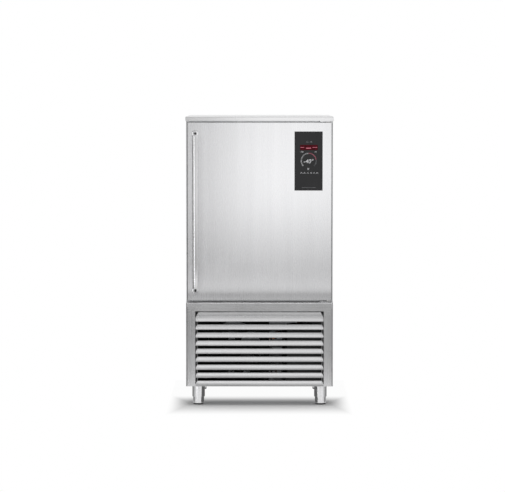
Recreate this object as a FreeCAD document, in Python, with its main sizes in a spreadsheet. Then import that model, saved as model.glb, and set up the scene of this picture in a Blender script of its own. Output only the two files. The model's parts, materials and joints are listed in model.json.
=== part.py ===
"""Blast chiller on four adjustable legs.

The cabinet stands on the XY plane with +Z up.  Its door faces -Y and its hinge is on the +X side.
The origin is the middle of the whole outline, handle included, on the floor.
"""
import FreeCAD, Part
import os
import re

import Sketcher
from FreeCAD import Placement, Rotation, Vector

# Driving dimensions in millimetres, or counts and degrees where the name says so.
SIZES = {
    # Cabinet
    "cabinet_width": 790,
    "cabinet_depth": 800,
    "cabinet_height": 1450,
    "leg_height": 105,
    "casing": 1.2,
    "wall": 60,
    "liner": 1,
    "liner_corner": 14,
    "flange": 18,
    "cover_height": 22.3,
    "cover_bend": 2.2,
    "base_sheet": 2,
    "base_setback": 32,
    "sheet_play": 0.5,
    # Lower front
    "machine_bay_height": 454,
    "rail_height": 48,
    "stile_width": 49.5,
    "stile_return": 25,
    "frame_bend": 8,
    # Door
    "door_thickness": 60,
    "door_inset": 3.25,
    "door_gap_below": 11,
    "door_gap_above": 9.2,
    "door_skin": 1.2,
    "door_bend": 8,
    "gasket_space": 15,
    "gasket_width": 18,
    "gasket_inset": 8,
    "gasket_slope": 3,
    "soft_gap": 0.3,
    "step_height": 8,
    "step_inset": 14,
    "step_bend": 5,
    # Hinge
    "pivot_inset": 22.75,
    "pivot_depth": 27.5,
    "pin_radius": 6,
    "pin_reach": 28,
    "running_gap": 0.05,
    "collar_radius": 10,
    "bush_wall": 5,
    "bush_flange": 3,
    "bush_rim": 3,
    "bush_tail": 2,
    "fit_gap": 0.2,
    "bracket_sheet": 5,
    "bracket_length": 62,
    "bracket_overhang": 15,
    "bracket_depth": 58,
    "bracket_edge": 12,
    "bracket_screw_pitch": 30,
    "bracket_screw_inset": 15.5,
    # Handle
    "handle_reach": 45,
    "handle_inset": 47.5,
    "handle_drop": 58,
    "handle_rise": 53.5,
    "handle_width": 28,
    "handle_section": 18,
    "handle_round": 10,
    "handle_grip_round": 2,
    "bar_start": 12,
    "handle_post": 24,
    "lug_radius": 18,
    "lug_height": 12,
    "screw_head_radius": 5.8,
    "screw_head_height": 4,
    "screw_radius": 3,
    "screw_length": 24,
    # Control panel
    "glass_width": 149.4,
    "glass_height": 315,
    "glass_inset": 54.7,
    "glass_drop": 47.5,
    "glass_sheet": 4,
    "glass_proud": 1.5,
    "housing_depth": 24,
    "housing_rim": 8,
    "housing_step": 6,
    "housing_wall": 2,
    "board_sheet": 1.6,
    "board_post": 6,
    "board_post_radius": 4,
    # Louvre panel
    "louvre_side_gap": 2,
    "louvre_top_gap": 5,
    "slat_count": 9,
    "slat_pitch": 43.4,
    "slat_height": 26.1,
    "slat_lean": 11,
    "slat_lip": 9,
    "slat_fold": 1.8,
    "slat_taper": 8,
    "bottom_slat_height": 29.2,
    "top_band": 21,
    "top_corner": 15,
    "cheek_depth": 24,
    "cheek_sheet": 1.5,
    "cheek_inset": 7,
    "louvre_pivot_depth": 8,
    "louvre_pivot_rise": 10,
    "louvre_pin_radius": 4,
    "louvre_pin_tail": 3,
    # Chamber fittings
    "rack_setback": 20,
    "rack_gap": 25,
    "rack_height": 830,
    "post_thickness": 30,
    "post_width": 20,
    "runner_count": 10,
    "runner_pitch": 76,
    "runner_first": 60,
    "runner_width": 22,
    "runner_sheet": 3,
    "fan_panel_air_gap": 40,
    "fan_panel_flange": 25,
    "fan_spacing": 400,
    "fan_opening_radius": 140,
    "guard_sheet": 4,
    "guard_wire": 4,
    "guard_ring_count": 4,
    "guard_spoke_count": 6,
    "guard_hub_radius": 48,
    "motor_radius": 40,
    "motor_length": 52,
    "motor_bore_depth": 14,
    "shaft_radius": 5,
    "fan_gap": 4,
    "fan_hub_radius": 44,
    "fan_hub_length": 28,
    "fan_blade_reach": 129,
    "blade_count": 5,
    "blade_chord": 60,
    "blade_sheet": 3,
    "blade_margin": 1,
    "shaft_end_gap": 1,
    "coil_setback": 105,
    "coil_back_gap": 20,
    "coil_depth": 85,
    "coil_width": 500,
    "coil_air_gap": 40,
    "coil_end_sheet": 2,
    "coil_tube_radius": 5,
    "coil_bend_radius": 13,
    "coil_bend_count": 7,
    "fin_pitch": 10,
    "fin_sheet": 2,
    "fin_web": 3,
    "drain_radius": 14,
    "drain_wall": 3,
    "drain_rim": 14,
    "drain_forward": 60,
    "drain_drop": 60,
    "pipe_hole_gap": 1,
    # Machine compartment
    "condenser_inset": 65,
    "condenser_far_inset": 345,
    "condenser_setback": 20,
    "condenser_depth": 60,
    "condenser_height": 360,
    "shroud_depth": 40,
    "shroud_sheet": 1.5,
    "condenser_fan_opening": 150,
    "condenser_blade_reach": 139,
    "condenser_motor_radius": 45,
    "condenser_motor_length": 64,
    "condenser_bracket_width": 20,
    "condenser_bracket_sheet": 3,
    "compressor_inset": 175,
    "suction_run": 240,
    "compressor_radius": 95,
    "compressor_height": 268,
    "compressor_dome": 40,
    "compressor_plate": 6,
    "compressor_plate_width": 200,
    "grommet_radius": 14,
    "grommet_height": 20,
    "stub_radius": 8,
    "stub_length": 12,
    "stub_rise": 220,
    "suction_stub_radius": 10,
    "receiver_inset": 165,
    "receiver_run": 150,
    "receiver_radius": 55,
    "receiver_height": 230,
    "receiver_dome": 18,
    "drier_radius": 18,
    "drier_length": 80,
    "drier_drop": 30,
    "drier_dome": 6,
    "pipe_radius": 5,
    "suction_radius": 8,
    "pipe_bend": 22,
    "pipe_run_gap": 38,
    "riser_loop": 55,
    "low_pipe_rise": 45,
    "control_box_inset": 245,
    "control_box_width": 190,
    "control_box_depth": 120,
    "control_box_height": 300,
    "control_box_sheet": 1.5,
    "grommet_bore": 7,
    "inlet_neck_radius": 12,
    "inlet_rim": 4,
    "inlet_inset": 95,
    "inlet_rise": 75,
    "vent_count": 9,
    "vent_pitch": 30,
    "vent_height": 9,
    "vent_width": 420,
    "vent_first": 110,
    "panel_screw_radius": 2.5,
    "panel_screw_head": 5,
    "panel_screw_head_height": 2.5,
    # Legs and feet
    "leg_inset": 65,
    "leg_setback": 80,
    "leg_radius": 34,
    "leg_wall": 2,
    "leg_open": 42,
    "leg_top_plate": 6,
    "nut_plate": 10,
    "nut_rise": 62,
    "foot_radius": 30,
    "foot_top": 46,
    "foot_edge": 2,
    "spindle_radius": 8,
    "spindle_top": 84,
    "pad_height": 6.5,
}

# Places worked out from the driving dimensions.
PLACES = {
    "half": "cabinet_width / 2",
    "back": "(cabinet_depth + handle_reach - panel_screw_head_height) / 2",
    "front": "back - cabinet_depth",
    "face": "front + door_thickness + gasket_space",
    "inner_half": "half - casing",
    "rear_sheet": "back - 2 * casing",
    "top": "leg_height + cabinet_height",
    "under_cover": "top - casing",
    "cover_bottom": "top - cover_height",
    "bay_top": "leg_height + machine_bay_height",
    "rail_bottom": "bay_top - rail_height",
    "pan_top": "leg_height + base_sheet",
    "chamber_half": "half - wall",
    "chamber_floor": "bay_top + wall",
    "chamber_roof": "cover_bottom - wall",
    "chamber_back": "back - wall",
    "chamber_middle": "(chamber_floor + chamber_roof) / 2",
    "foam_front": "face + casing",
    # Door
    "door_half": "half - door_inset",
    "door_bottom": "bay_top + door_gap_below",
    "door_top": "cover_bottom - door_gap_above",
    "door_back": "front + door_thickness",
    "door_liner_front": "door_back - door_skin",
    # Hinge
    "pivot_x": "door_half - pivot_inset",
    "pivot_y": "front + pivot_depth",
    "bush_radius": "pin_radius + running_gap + bush_wall",
    "lower_bracket_top": "bay_top + bracket_sheet",
    "upper_bracket_bottom": "cover_bottom - bracket_sheet",
    "bracket_right": "pivot_x + bracket_overhang",
    "bracket_left": "bracket_right - bracket_length",
    "bracket_front": "pivot_y - bracket_edge",
    "bracket_screw_x": "bracket_left + bracket_screw_inset",
    # Handle and control panel
    "handle_x": "handle_inset - door_half",
    "handle_top": "door_top - handle_drop",
    "handle_bottom": "door_bottom + handle_rise",
    "handle_span": "handle_top - handle_bottom",
    "glass_right": "door_half - glass_inset",
    "glass_left": "glass_right - glass_width",
    "glass_top": "door_top - glass_drop",
    "glass_bottom": "glass_top - glass_height",
    "glass_back": "front - glass_proud + glass_sheet",
    "housing_front": "front + door_skin",
    "housing_back": "housing_front + housing_depth",
    # Louvre
    "opening_half": "half - stile_width",
    "louvre_half": "opening_half - louvre_side_gap",
    "cheek_half": "louvre_half - cheek_inset",
    "louvre_pin_end": "opening_half + casing + louvre_pin_tail",
    "louvre_top": "rail_bottom - louvre_top_gap",
    "louvre_pivot_y": "front + louvre_pivot_depth",
    "louvre_pivot_z": "leg_height + louvre_pivot_rise",
    "top_slat_bottom": "leg_height + bottom_slat_height + (slat_count - 1) * slat_pitch - slat_height",
    # Chamber
    "rack_front": "face + rack_setback",
    "rack_back": "fan_panel_y - rack_gap",
    "post_face": "chamber_half - post_thickness",
    "fan_panel_y": "coil_front - coil_setback",
    "upper_fan_z": "chamber_middle + fan_spacing / 2",
    "lower_fan_z": "chamber_middle - fan_spacing / 2",
    "guard_radius": "fan_opening_radius + 2 * guard_wire",
    "coil_front": "chamber_back - coil_back_gap - coil_depth",
    "coil_bottom": "chamber_floor + coil_air_gap",
    "drain_y": "(-1) * drain_forward",
    # Machine compartment
    "condenser_left": "condenser_inset - half",
    "condenser_right": "half - condenser_far_inset",
    "condenser_front": "face + condenser_setback",
    "condenser_back": "condenser_front + condenser_depth",
    "condenser_top": "pan_top + condenser_height",
    "condenser_fan_x": "(condenser_left + condenser_right) / 2",
    "condenser_fan_z": "(pan_top + condenser_top) / 2",
    "shroud_back": "condenser_back + shroud_depth",
    "riser_y": "coil_front + coil_depth / 2",
    "compressor_x": "half - compressor_inset",
    "compressor_y": "riser_y - suction_run",
    "compressor_bottom": "pan_top + grommet_height",
    "can_bottom": "compressor_bottom + compressor_plate",
    "stub_z": "can_bottom + stub_rise",
    "receiver_x": "receiver_inset - half",
    "receiver_y": "riser_y - receiver_run",
    "receiver_top": "pan_top + receiver_height",
    "receiver_stub_end": "receiver_x + receiver_radius + stub_length",
    "drier_top": "bay_top - drier_drop",
    "drier_bottom": "drier_top - drier_length",
    "control_box_left": "half - control_box_inset",
    "inlet_x": "half - inlet_inset",
    # Legs
    "leg_x": "half - leg_inset",
    "front_leg_y": "front + leg_setback",
    "rear_leg_y": "back - leg_setback",
}

X_TURN = Rotation(Vector(0, 1, 0), 90)
Y_TURN = Rotation(Vector(1, 0, 0), -90)
TURNS = {"x": X_TURN, "y": Y_TURN, "z": Rotation()}

doc = FreeCAD.newDocument("BlastChiller")
sheet = doc.addObject("Spreadsheet::Sheet", "Dims")
for row, (name, number) in enumerate(SIZES.items(), start=1):
    sheet.set(f"A{row}", str(number))
    sheet.setAlias(f"A{row}", name)
doc.recompute()

subparts = []


# ---------------------------------------------------------------- helpers


def formula(text):
    """A formula over the sheet's cells, with every worked-out place written in full."""

    def swap(match):
        word = match.group()
        if word in PLACES:
            return f"({formula(PLACES[word])})"
        return f"Dims.{word}" if word in SIZES else word

    return re.sub(r"[a-z]\w*", swap, str(text))


def value(text):
    """The number that a formula gives."""
    return float(sheet.evalExpression(formula(text)))


def bind(thing, **formulas):
    for name, text in formulas.items():
        thing.setExpression(name, formula(text))


def place(thing, x, y, z):
    for axis, text in zip("xyz", (x, y, z)):
        thing.setExpression(f"Placement.Base.{axis}", formula(text))


def subpart(label, thing):
    """Names a finished piece of the chiller."""
    thing.Label = label
    subparts.append(thing)
    return thing


def block(name, x, y, z):
    """A block between two planes on each axis."""
    solid = doc.addObject("Part::Box", name)
    for side, (low, high) in zip(("Length", "Width", "Height"), (x, y, z)):
        bind(solid, **{side: f"({high}) - ({low})"})
    place(solid, x[0], y[0], z[0])
    return solid


def rod(name, axis, centre, radius, low, high):
    """A round bar along an axis, with its centre given on the other two axes."""
    solid = doc.addObject("Part::Cylinder", name)
    solid.Placement = Placement(Vector(), TURNS[axis])
    bind(solid, Radius=radius, Height=f"({high}) - ({low})")
    spots = list(centre)
    spots.insert("xyz".index(axis), low)
    place(solid, *spots)
    return solid


def group(name, pieces):
    compound = doc.addObject("Part::Compound", name)
    compound.Links = list(pieces)
    return compound


def join(name, *pieces):
    fusion = doc.addObject("Part::MultiFuse", name)
    fusion.Shapes = list(pieces)
    fusion.Refine = True
    return fusion


def cut(name, base, *tools):
    result = doc.addObject("Part::Cut", name)
    result.Base = base
    result.Tool = tools[0] if len(tools) == 1 else group(f"{name}_tools", tools)
    return result


def edges_where(shape, keep):
    """The numbers of a shape's edges whose middle and direction pass a test."""
    found = []
    for number, edge in enumerate(shape.Edges, start=1):
        direction = edge.Vertexes[-1].Point - edge.Vertexes[0].Point
        if direction.Length > 0:
            direction.normalize()
        if keep(edge.CenterOfMass, direction):
            found.append(number)
    return found


def rounded(name, base, radius, keep):
    """A copy of a piece with the chosen edges rounded."""
    doc.recompute()
    result = doc.addObject("Part::Fillet", name)
    result.Base = base
    size = value(radius)
    result.Edges = [(number, size, size) for number in edges_where(base.Shape, keep)]
    return result


def near(number, target):
    return abs(number - target) < 0.01


def origin_part(body, role):
    return next(feature for feature in body.Origin.OriginFeatures if feature.Role == role)


def new_sketch(body, name, plane):
    sketch = body.newObject("Sketcher::SketchObject", name)
    sketch.AttachmentSupport = [(origin_part(body, plane), "")]
    sketch.MapMode = "FlatFace"
    return sketch


def fix_point(sketch, geometry, end, point):
    """Holds a point of a sketch at a place given by two formulas."""
    for kind, text in zip(("DistanceX", "DistanceY"), point):
        index = sketch.addConstraint(Sketcher.Constraint(kind, -1, 1, geometry, end, value(text)))
        sketch.setExpression(f"Constraints[{index}]", formula(text))


def draw_polygon(sketch, points):
    """A closed outline of straight sides through points given by formulas."""
    start = sketch.GeometryCount
    spots = [Vector(value(across), value(up), 0) for across, up in points]
    following = spots[1:] + spots[:1]
    for here, there in zip(spots, following):
        sketch.addGeometry(Part.LineSegment(here, there))
    for number, point in enumerate(points):
        after = start + (number + 1) % len(points)
        sketch.addConstraint(Sketcher.Constraint("Coincident", start + number, 2, after, 1))
        fix_point(sketch, start + number, 1, point)


def draw_rectangle(sketch, across, up):
    (left, right), (low, high) = across, up
    draw_polygon(sketch, [(left, low), (right, low), (right, high), (left, high)])


def draw_circle(sketch, centre, radius):
    spot = Vector(value(centre[0]), value(centre[1]), 0)
    circle = sketch.addGeometry(Part.Circle(spot, Vector(0, 0, 1), value(radius)))
    index = sketch.addConstraint(Sketcher.Constraint("Radius", circle, value(radius)))
    sketch.setExpression(f"Constraints[{index}]", formula(radius))
    fix_point(sketch, circle, 3, centre)


def pad(body, sketch, length, centred=False, reverse=False):
    feature = body.newObject("PartDesign::Pad", f"{sketch.Name}_pad")
    feature.Profile = sketch
    feature.Midplane = centred
    feature.Reversed = reverse
    bind(feature, Length=length)
    return feature


def pocket(body, sketch, length, reverse=False, centred=False):
    feature = body.newObject("PartDesign::Pocket", f"{sketch.Name}_pocket")
    feature.Profile = sketch
    feature.Midplane = centred
    feature.Reversed = reverse
    bind(feature, Length=length)
    return feature


def revolve(body, sketch):
    feature = body.newObject("PartDesign::Revolution", f"{sketch.Name}_turned")
    feature.Profile = sketch
    feature.ReferenceAxis = (sketch, ["V_Axis"])
    feature.Angle = 360
    return feature


def repeat_around(body, feature, count):
    """Copies a feature around the body's own Z axis."""
    pattern = body.newObject("PartDesign::PolarPattern", f"{feature.Name}_copies")
    pattern.Originals = [feature]
    pattern.Axis = (origin_part(body, "Z_Axis"), [""])
    pattern.Angle = 360
    bind(pattern, Occurrences=count)
    body.Tip = pattern
    return pattern


def round_edges(body, feature, radius, keep, kind="Fillet"):
    """Rounds or chamfers the chosen edges of a body's last feature."""
    doc.recompute()
    numbers = edges_where(feature.Shape, keep)
    result = body.newObject(f"PartDesign::{kind}", f"{feature.Name}_{kind.lower()}")
    result.Base = (feature, [f"Edge{number}" for number in numbers])
    bind(result, **{"Radius" if kind == "Fillet" else "Size": radius})
    return result


def sides(extent):
    """A pair of planes at equal distances on both sides of the middle."""
    return f"(-1) * ({extent})", extent


def screw(name, x, z, y, head_radius, head_height, radius, length, side=1):
    """A screw along Y whose head rests on the plane at y; side is the way the shank points."""
    ends = {1: (f"{y} - {head_height}", y), -1: (y, f"{y} + {head_height}")}
    shank = {1: (y, f"{y} + {length}"), -1: (f"{y} - {length}", y)}
    head_piece = rod(f"{name}_head", "y", (x, z), head_radius, *ends[side])
    shank_piece = rod(f"{name}_shank", "y", (x, z), radius, *shank[side])
    return join(name, head_piece, shank_piece)


# ---------------------------------------------------------------- casing


def side_panel(side, label):
    """A side sheet folded inwards along its front and rear edges."""
    body = doc.addObject("PartDesign::Body", f"{label}_body")
    sketch = new_sketch(body, f"{label}_outline", "XY_Plane")
    profile = [
        ("half", "face"),
        ("half", "back"),
        ("half - flange", "back"),
        ("half - flange", "back - casing"),
        ("inner_half", "back - casing"),
        ("inner_half", "foam_front"),
        ("half - flange", "foam_front"),
        ("half - flange", "face"),
    ]
    draw_polygon(sketch, [(f"({side}) * ({x})", y) for x, y in profile])
    pad(body, sketch, "under_cover - leg_height")
    place(body, 0, 0, "leg_height")
    holes = [
        rod(f"{label}_hole_{n}", "y", (f"({side}) * ({x})", z), "panel_screw_radius + fit_gap",
            "back - casing", "back")
        for n, (x, z) in enumerate(rear_screw_spots(), start=1)
    ]
    return subpart(label, cut(f"{label}_drilled", body, *holes))


def rear_screw_spots():
    """Where screws hold the rear sheets to each side's rear flange: distance from the middle, height."""
    across = "half - flange / 2"
    lower = [(across, f"leg_height + machine_bay_height * {n} / 4") for n in (1, 3)]
    upper = [(across, f"bay_top + (under_cover - bay_top) * {n} / 6") for n in (1, 3, 5)]
    return lower + upper


def rear_panels():
    """The plain upper rear sheet and the vented lower one, both inside the side flanges."""
    def holes(label, low, high):
        spots = [(x, z) for x, z in rear_screw_spots() if value(low) < value(z) < value(high)]
        return [
            rod(f"{label}_hole_{n}_{hand}", "y", (f"{sign} * ({x})", z), "panel_screw_radius + fit_gap",
                "rear_sheet", "back - casing")
            for n, (x, z) in enumerate(spots, start=1)
            for hand, sign in (("left", -1), ("right", 1))
        ]

    upper = block("rear_sheet_blank", sides("inner_half"), ("rear_sheet", "back - casing"),
                  ("bay_top", "under_cover"))
    subpart("rear_panel", cut("rear_sheet_cut", upper, *holes("rear_panel", "bay_top", "under_cover")))

    lower = block("vent_blank", sides("inner_half"), ("rear_sheet", "back - casing"),
                  ("leg_height", "bay_top"))
    slots = [
        block(f"vent_slot_{n}", sides("vent_width / 2"), ("rear_sheet", "back - casing"),
              (f"leg_height + vent_first + {n} * vent_pitch",
               f"leg_height + vent_first + {n} * vent_pitch + vent_height"))
        for n in range(int(value("vent_count")))
    ]
    inlet = rod("inlet_hole", "y", ("inlet_x", "leg_height + inlet_rise"),
                "inlet_neck_radius", "rear_sheet", "back - casing")
    drilled = cut("vent_cut", lower, inlet, *slots, *holes("vent", "leg_height", "bay_top"))
    subpart("rear_vent_panel", drilled)


def rear_screws():
    screws = [
        screw(f"rear_screw_{n}_{hand}", f"{sign} * ({x})", z, "back", "panel_screw_head",
              "panel_screw_head_height", "panel_screw_radius", "2 * casing", side=-1)
        for n, (x, z) in enumerate(rear_screw_spots(), start=1)
        for hand, sign in (("left", -1), ("right", 1))
    ]
    subpart("rear_panel_screws", group("rear_screw_group", screws))


def top_cover():
    """The lid: a top sheet with a skirt at the front and both sides."""
    wide = sides("half + casing")
    outer = block("cover_outer", wide, ("front", "back"), ("cover_bottom", "top"))
    crest = value("top")
    shaped = rounded("cover_rounded", outer, "cover_bend",
                     lambda middle, direction: near(middle.z, crest) and middle.y < value("back") - 1)
    inner = block("cover_inner", sides("half"), ("front + casing", "back"), ("cover_bottom", "under_cover"))
    subpart("top_cover", cut("cover_shell", shaped, inner))


def header_channel():
    """The channel under the front of the lid, which carries the upper hinge bracket."""
    outer = block("header_outer", sides("half"), ("front + casing", "face"), ("cover_bottom", "under_cover"))
    inner = block("header_inner", sides("half - casing"), ("front + 2 * casing", "face - casing"),
                  ("cover_bottom + casing", "under_cover"))
    subpart("header_channel", cut("header_shell", outer, inner, *bracket_screw_holes(
        "header", "cover_bottom", "cover_bottom + casing")))


def bracket_screw_holes(name, low, high):
    """Holes for the two screws of a hinge bracket."""
    return [
        rod(f"{name}_bracket_hole_{n}", "z", ("bracket_screw_x", f"pivot_y + {n} * bracket_screw_pitch"),
            "panel_screw_radius + fit_gap", low, high)
        for n in range(2)
    ]


def front_surround():
    """The flat frame that the door seal closes on."""
    outer = block("surround_outer", sides("half - flange"), ("face", "foam_front"),
                  ("bay_top", "cover_bottom"))
    inner = block("surround_inner", sides("chamber_half"), ("face", "foam_front"),
                  ("chamber_floor", "chamber_roof"))
    subpart("front_surround", cut("surround_frame", outer, inner))


def floor_holes(name, low, high):
    """Clearance holes where the drain and the two refrigerant risers pass through the floor."""
    spots = [
        ("drain", ("0", "drain_y"), "drain_radius"),
        ("liquid", ("receiver_x", "riser_y"), "pipe_radius"),
        ("suction", ("compressor_x", "riser_y"), "suction_radius"),
    ]
    return [
        rod(f"{name}_{pipe}_hole", "z", centre, f"{radius} + pipe_hole_gap", low, high)
        for pipe, centre, radius in spots
    ]


def bay_deck():
    plate = block("deck_plate", sides("inner_half"), ("foam_front", "rear_sheet"),
                  ("bay_top", "bay_top + casing"))
    subpart("bay_deck", cut("deck_drilled", plate, *floor_holes("deck", "bay_top", "bay_top + casing")))


def insulation():
    """Foam boards around the chamber: two sides at full height, then roof, floor and rear between them."""
    low = "bay_top + casing"
    depth = ("foam_front", "rear_sheet")
    inside = "chamber_half + liner"
    left = block("foam_left", ("(-1) * inner_half", f"(-1) * ({inside})"), depth, (low, "cover_bottom"))
    right = block("foam_right", (inside, "inner_half"), depth, (low, "cover_bottom"))
    roof = block("foam_roof", sides(inside), depth, ("chamber_roof + liner", "cover_bottom"))
    floor_board = block("foam_floor_board", sides(inside), depth, (low, "chamber_floor - liner"))
    floor = cut("foam_floor", floor_board, *floor_holes("foam", low, "chamber_floor - liner"))
    rear = block("foam_rear", sides(inside), ("chamber_back + liner", "rear_sheet"),
                 ("chamber_floor - liner", "chamber_roof + liner"))
    subpart("insulation", group("foam_boards", [left, right, roof, floor, rear]))


def chamber_liner():
    """The inner steel box, open at the front, with rounded corners inside."""
    outer = block("liner_outer", sides("chamber_half + liner"), ("foam_front", "chamber_back + liner"),
                  ("chamber_floor - liner", "chamber_roof + liner"))
    hollow = block("liner_hollow", sides("chamber_half"), ("foam_front", "chamber_back"),
                   ("chamber_floor", "chamber_roof"))
    corner = value("chamber_half")
    coved = rounded("liner_coved", hollow, "liner_corner",
                    lambda middle, direction: abs(direction.y) > 0.9 and near(abs(middle.x), corner))
    subpart("chamber_liner", cut("liner_shell", outer, coved, *floor_holes(
        "liner", "chamber_floor - liner", "chamber_floor")))


def base_pan():
    """The bottom sheet, notched for the front flange of each side panel."""
    blank = block("pan_sheet", sides("inner_half"), ("front + base_setback", "rear_sheet"),
                  ("leg_height", "pan_top"))
    notch_y = ("face - sheet_play", "foam_front + sheet_play")
    inside = "half - flange - sheet_play"
    notches = [
        block("pan_notch_left", ("(-1) * inner_half", f"(-1) * ({inside})"), notch_y,
              ("leg_height", "pan_top")),
        block("pan_notch_right", (inside, "inner_half"), notch_y, ("leg_height", "pan_top")),
    ]
    subpart("base_pan", cut("pan_notched", blank, *notches))


# ---------------------------------------------------------------- lower front


def lower_rail():
    """The folded rail across the front under the door."""
    outer = block("rail_outer", sides("half"), ("front", "face"), ("rail_bottom", "bay_top"))
    edge = value("half")
    crown = value("bay_top")
    lip = value("front")
    shaped = rounded(
        "rail_rounded", outer, "frame_bend",
        lambda middle, direction: near(middle.y, lip)
        and (near(abs(middle.x), edge) or near(middle.z, crown)))
    inner = block("rail_inner", sides("inner_half - frame_bend"), ("front + casing + frame_bend", "face"),
                  ("rail_bottom + casing", "bay_top - casing"))
    holes = bracket_screw_holes("rail", "bay_top - casing", "bay_top")
    subpart("lower_rail", cut("rail_shell", shaped, inner, *holes))


def lower_stile(side, label):
    """A folded upright at one side of the louvre, drilled for the louvre's pivot pin."""
    body = doc.addObject("PartDesign::Body", f"{label}_body")
    sketch = new_sketch(body, f"{label}_outline", "XY_Plane")
    profile = [
        ("half", "face"),
        ("half", "front"),
        ("opening_half", "front"),
        ("opening_half", "front + stile_return"),
        ("opening_half + casing", "front + stile_return"),
        ("opening_half + casing", "front + casing"),
        ("inner_half", "front + casing"),
        ("inner_half", "face"),
    ]
    draw_polygon(sketch, [(f"({side}) * ({x})", y) for x, y in profile])
    folded = pad(body, sketch, "rail_bottom - leg_height")
    corner_x = value(f"({side}) * half")
    corner_y = value("front")
    inner_x = value(f"({side}) * inner_half")
    inner_y = value("front + casing")
    outside = round_edges(
        body, folded, "frame_bend",
        lambda middle, direction: near(middle.x, corner_x) and near(middle.y, corner_y))
    round_edges(
        body, outside, "frame_bend - casing",
        lambda middle, direction: near(middle.x, inner_x) and near(middle.y, inner_y))
    place(body, 0, 0, "leg_height")
    reach = sorted([f"({side}) * (opening_half + casing)", f"({side}) * opening_half"], key=value)
    hole = rod(f"{label}_pin_hole", "x", ("louvre_pivot_y", "louvre_pivot_z"),
               "louvre_pin_radius + running_gap", *reach)
    subpart(label, cut(f"{label}_drilled", body, hole))


def slat_section(sketch, base, height):
    """One slat seen from the side: a lip, a face that leans back, and a top fold."""
    draw_polygon(sketch, [
        ("front + slat_lip", base),
        ("front", base),
        ("front + slat_lean", f"{base} + {height}"),
        ("front + slat_lean + slat_lip", f"{base} + {height}"),
        ("front + slat_lean + slat_lip", f"{base} + {height} - casing"),
        ("front + slat_lean + casing", f"{base} + {height} - casing"),
        ("front + slat_fold", f"{base} + casing"),
        ("front + slat_lip", f"{base} + casing"),
    ])


def top_slat_section(sketch):
    """The top slat: the same lean up to a crease, then an upright band and a top fold."""
    base = "top_slat_bottom"
    crease = "louvre_top - top_band"
    draw_polygon(sketch, [
        ("front + slat_lip", base),
        ("front", base),
        ("front + slat_lean", crease),
        ("front + slat_lean", "louvre_top"),
        ("front + slat_lean + slat_lip", "louvre_top"),
        ("front + slat_lean + slat_lip", "louvre_top - casing"),
        ("front + slat_lean + casing", "louvre_top - casing"),
        ("front + slat_lean + casing", crease),
        ("front + slat_fold", f"{base} + casing"),
        ("front + slat_lip", f"{base} + casing"),
    ])


def louvre_panel():
    """Slats between two cheeks, which tilts forward on two pins near its lower edge."""
    body = doc.addObject("PartDesign::Body", "louvre_slats")
    sections = new_sketch(body, "slat_sections", "YZ_Plane")
    corners = new_sketch(body, "slat_corners", "XZ_Plane")
    slat_section(sections, "leg_height", "bottom_slat_height")
    bases = [
        f"leg_height + bottom_slat_height + {n} * slat_pitch - slat_height"
        for n in range(1, int(value("slat_count")) - 1)
    ]
    for base in bases:
        slat_section(sections, base, "slat_height")
    top_slat_section(sections)
    pad(body, sections, "2 * louvre_half", centred=True)
    tapers = [(f"{base} + slat_taper", f"{base} + slat_height", "slat_taper") for base in bases]
    tapers.append(("leg_height + slat_taper", "leg_height + bottom_slat_height", "slat_taper"))
    tapers.append(("louvre_top - 2 * top_corner", "louvre_top", "top_corner"))
    for sign in (-1, 1):
        for low, high, width in tapers:
            edge = f"{sign} * louvre_half"
            draw_polygon(corners, [(edge, low), (edge, high), (f"{sign} * (louvre_half - {width})", high)])
    pocket(body, corners, "2 * cabinet_depth", centred=True)
    cheek_y = ("front + casing", "front + cheek_depth")
    cheek_z = ("leg_height", "louvre_top - 2 * top_corner")
    cheeks = [
        block("cheek_left", ("(-1) * cheek_half", "cheek_sheet - cheek_half"), cheek_y, cheek_z),
        block("cheek_right", ("cheek_half - cheek_sheet", "cheek_half"), cheek_y, cheek_z),
    ]
    pins = [
        rod("louvre_pin_left", "x", ("louvre_pivot_y", "louvre_pivot_z"), "louvre_pin_radius",
            "(-1) * louvre_pin_end", "(-1) * cheek_half"),
        rod("louvre_pin_right", "x", ("louvre_pivot_y", "louvre_pivot_z"), "louvre_pin_radius",
            "cheek_half", "louvre_pin_end"),
    ]
    subpart("louvre_panel", join("louvre_welded", body, *cheeks, *pins))


# ---------------------------------------------------------------- door


def door_shell_edges(y, x):
    """Tests for a door block's two upright front edges."""
    level, edge = value(y), value(x)
    return lambda middle, direction: near(middle.y, level) and near(abs(middle.x), edge)


def handle_screw_spots():
    return [("handle_x", "handle_bottom"), ("handle_x", "handle_top")]


def bush_holes(name, radius, lower, upper):
    """Holes for the two hinge bushes, each given its lowest and highest plane."""
    return [
        rod(f"{name}_lower_bush_hole", "z", ("pivot_x", "pivot_y"), radius, *lower),
        rod(f"{name}_upper_bush_hole", "z", ("pivot_x", "pivot_y"), radius, *upper),
    ]


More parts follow.
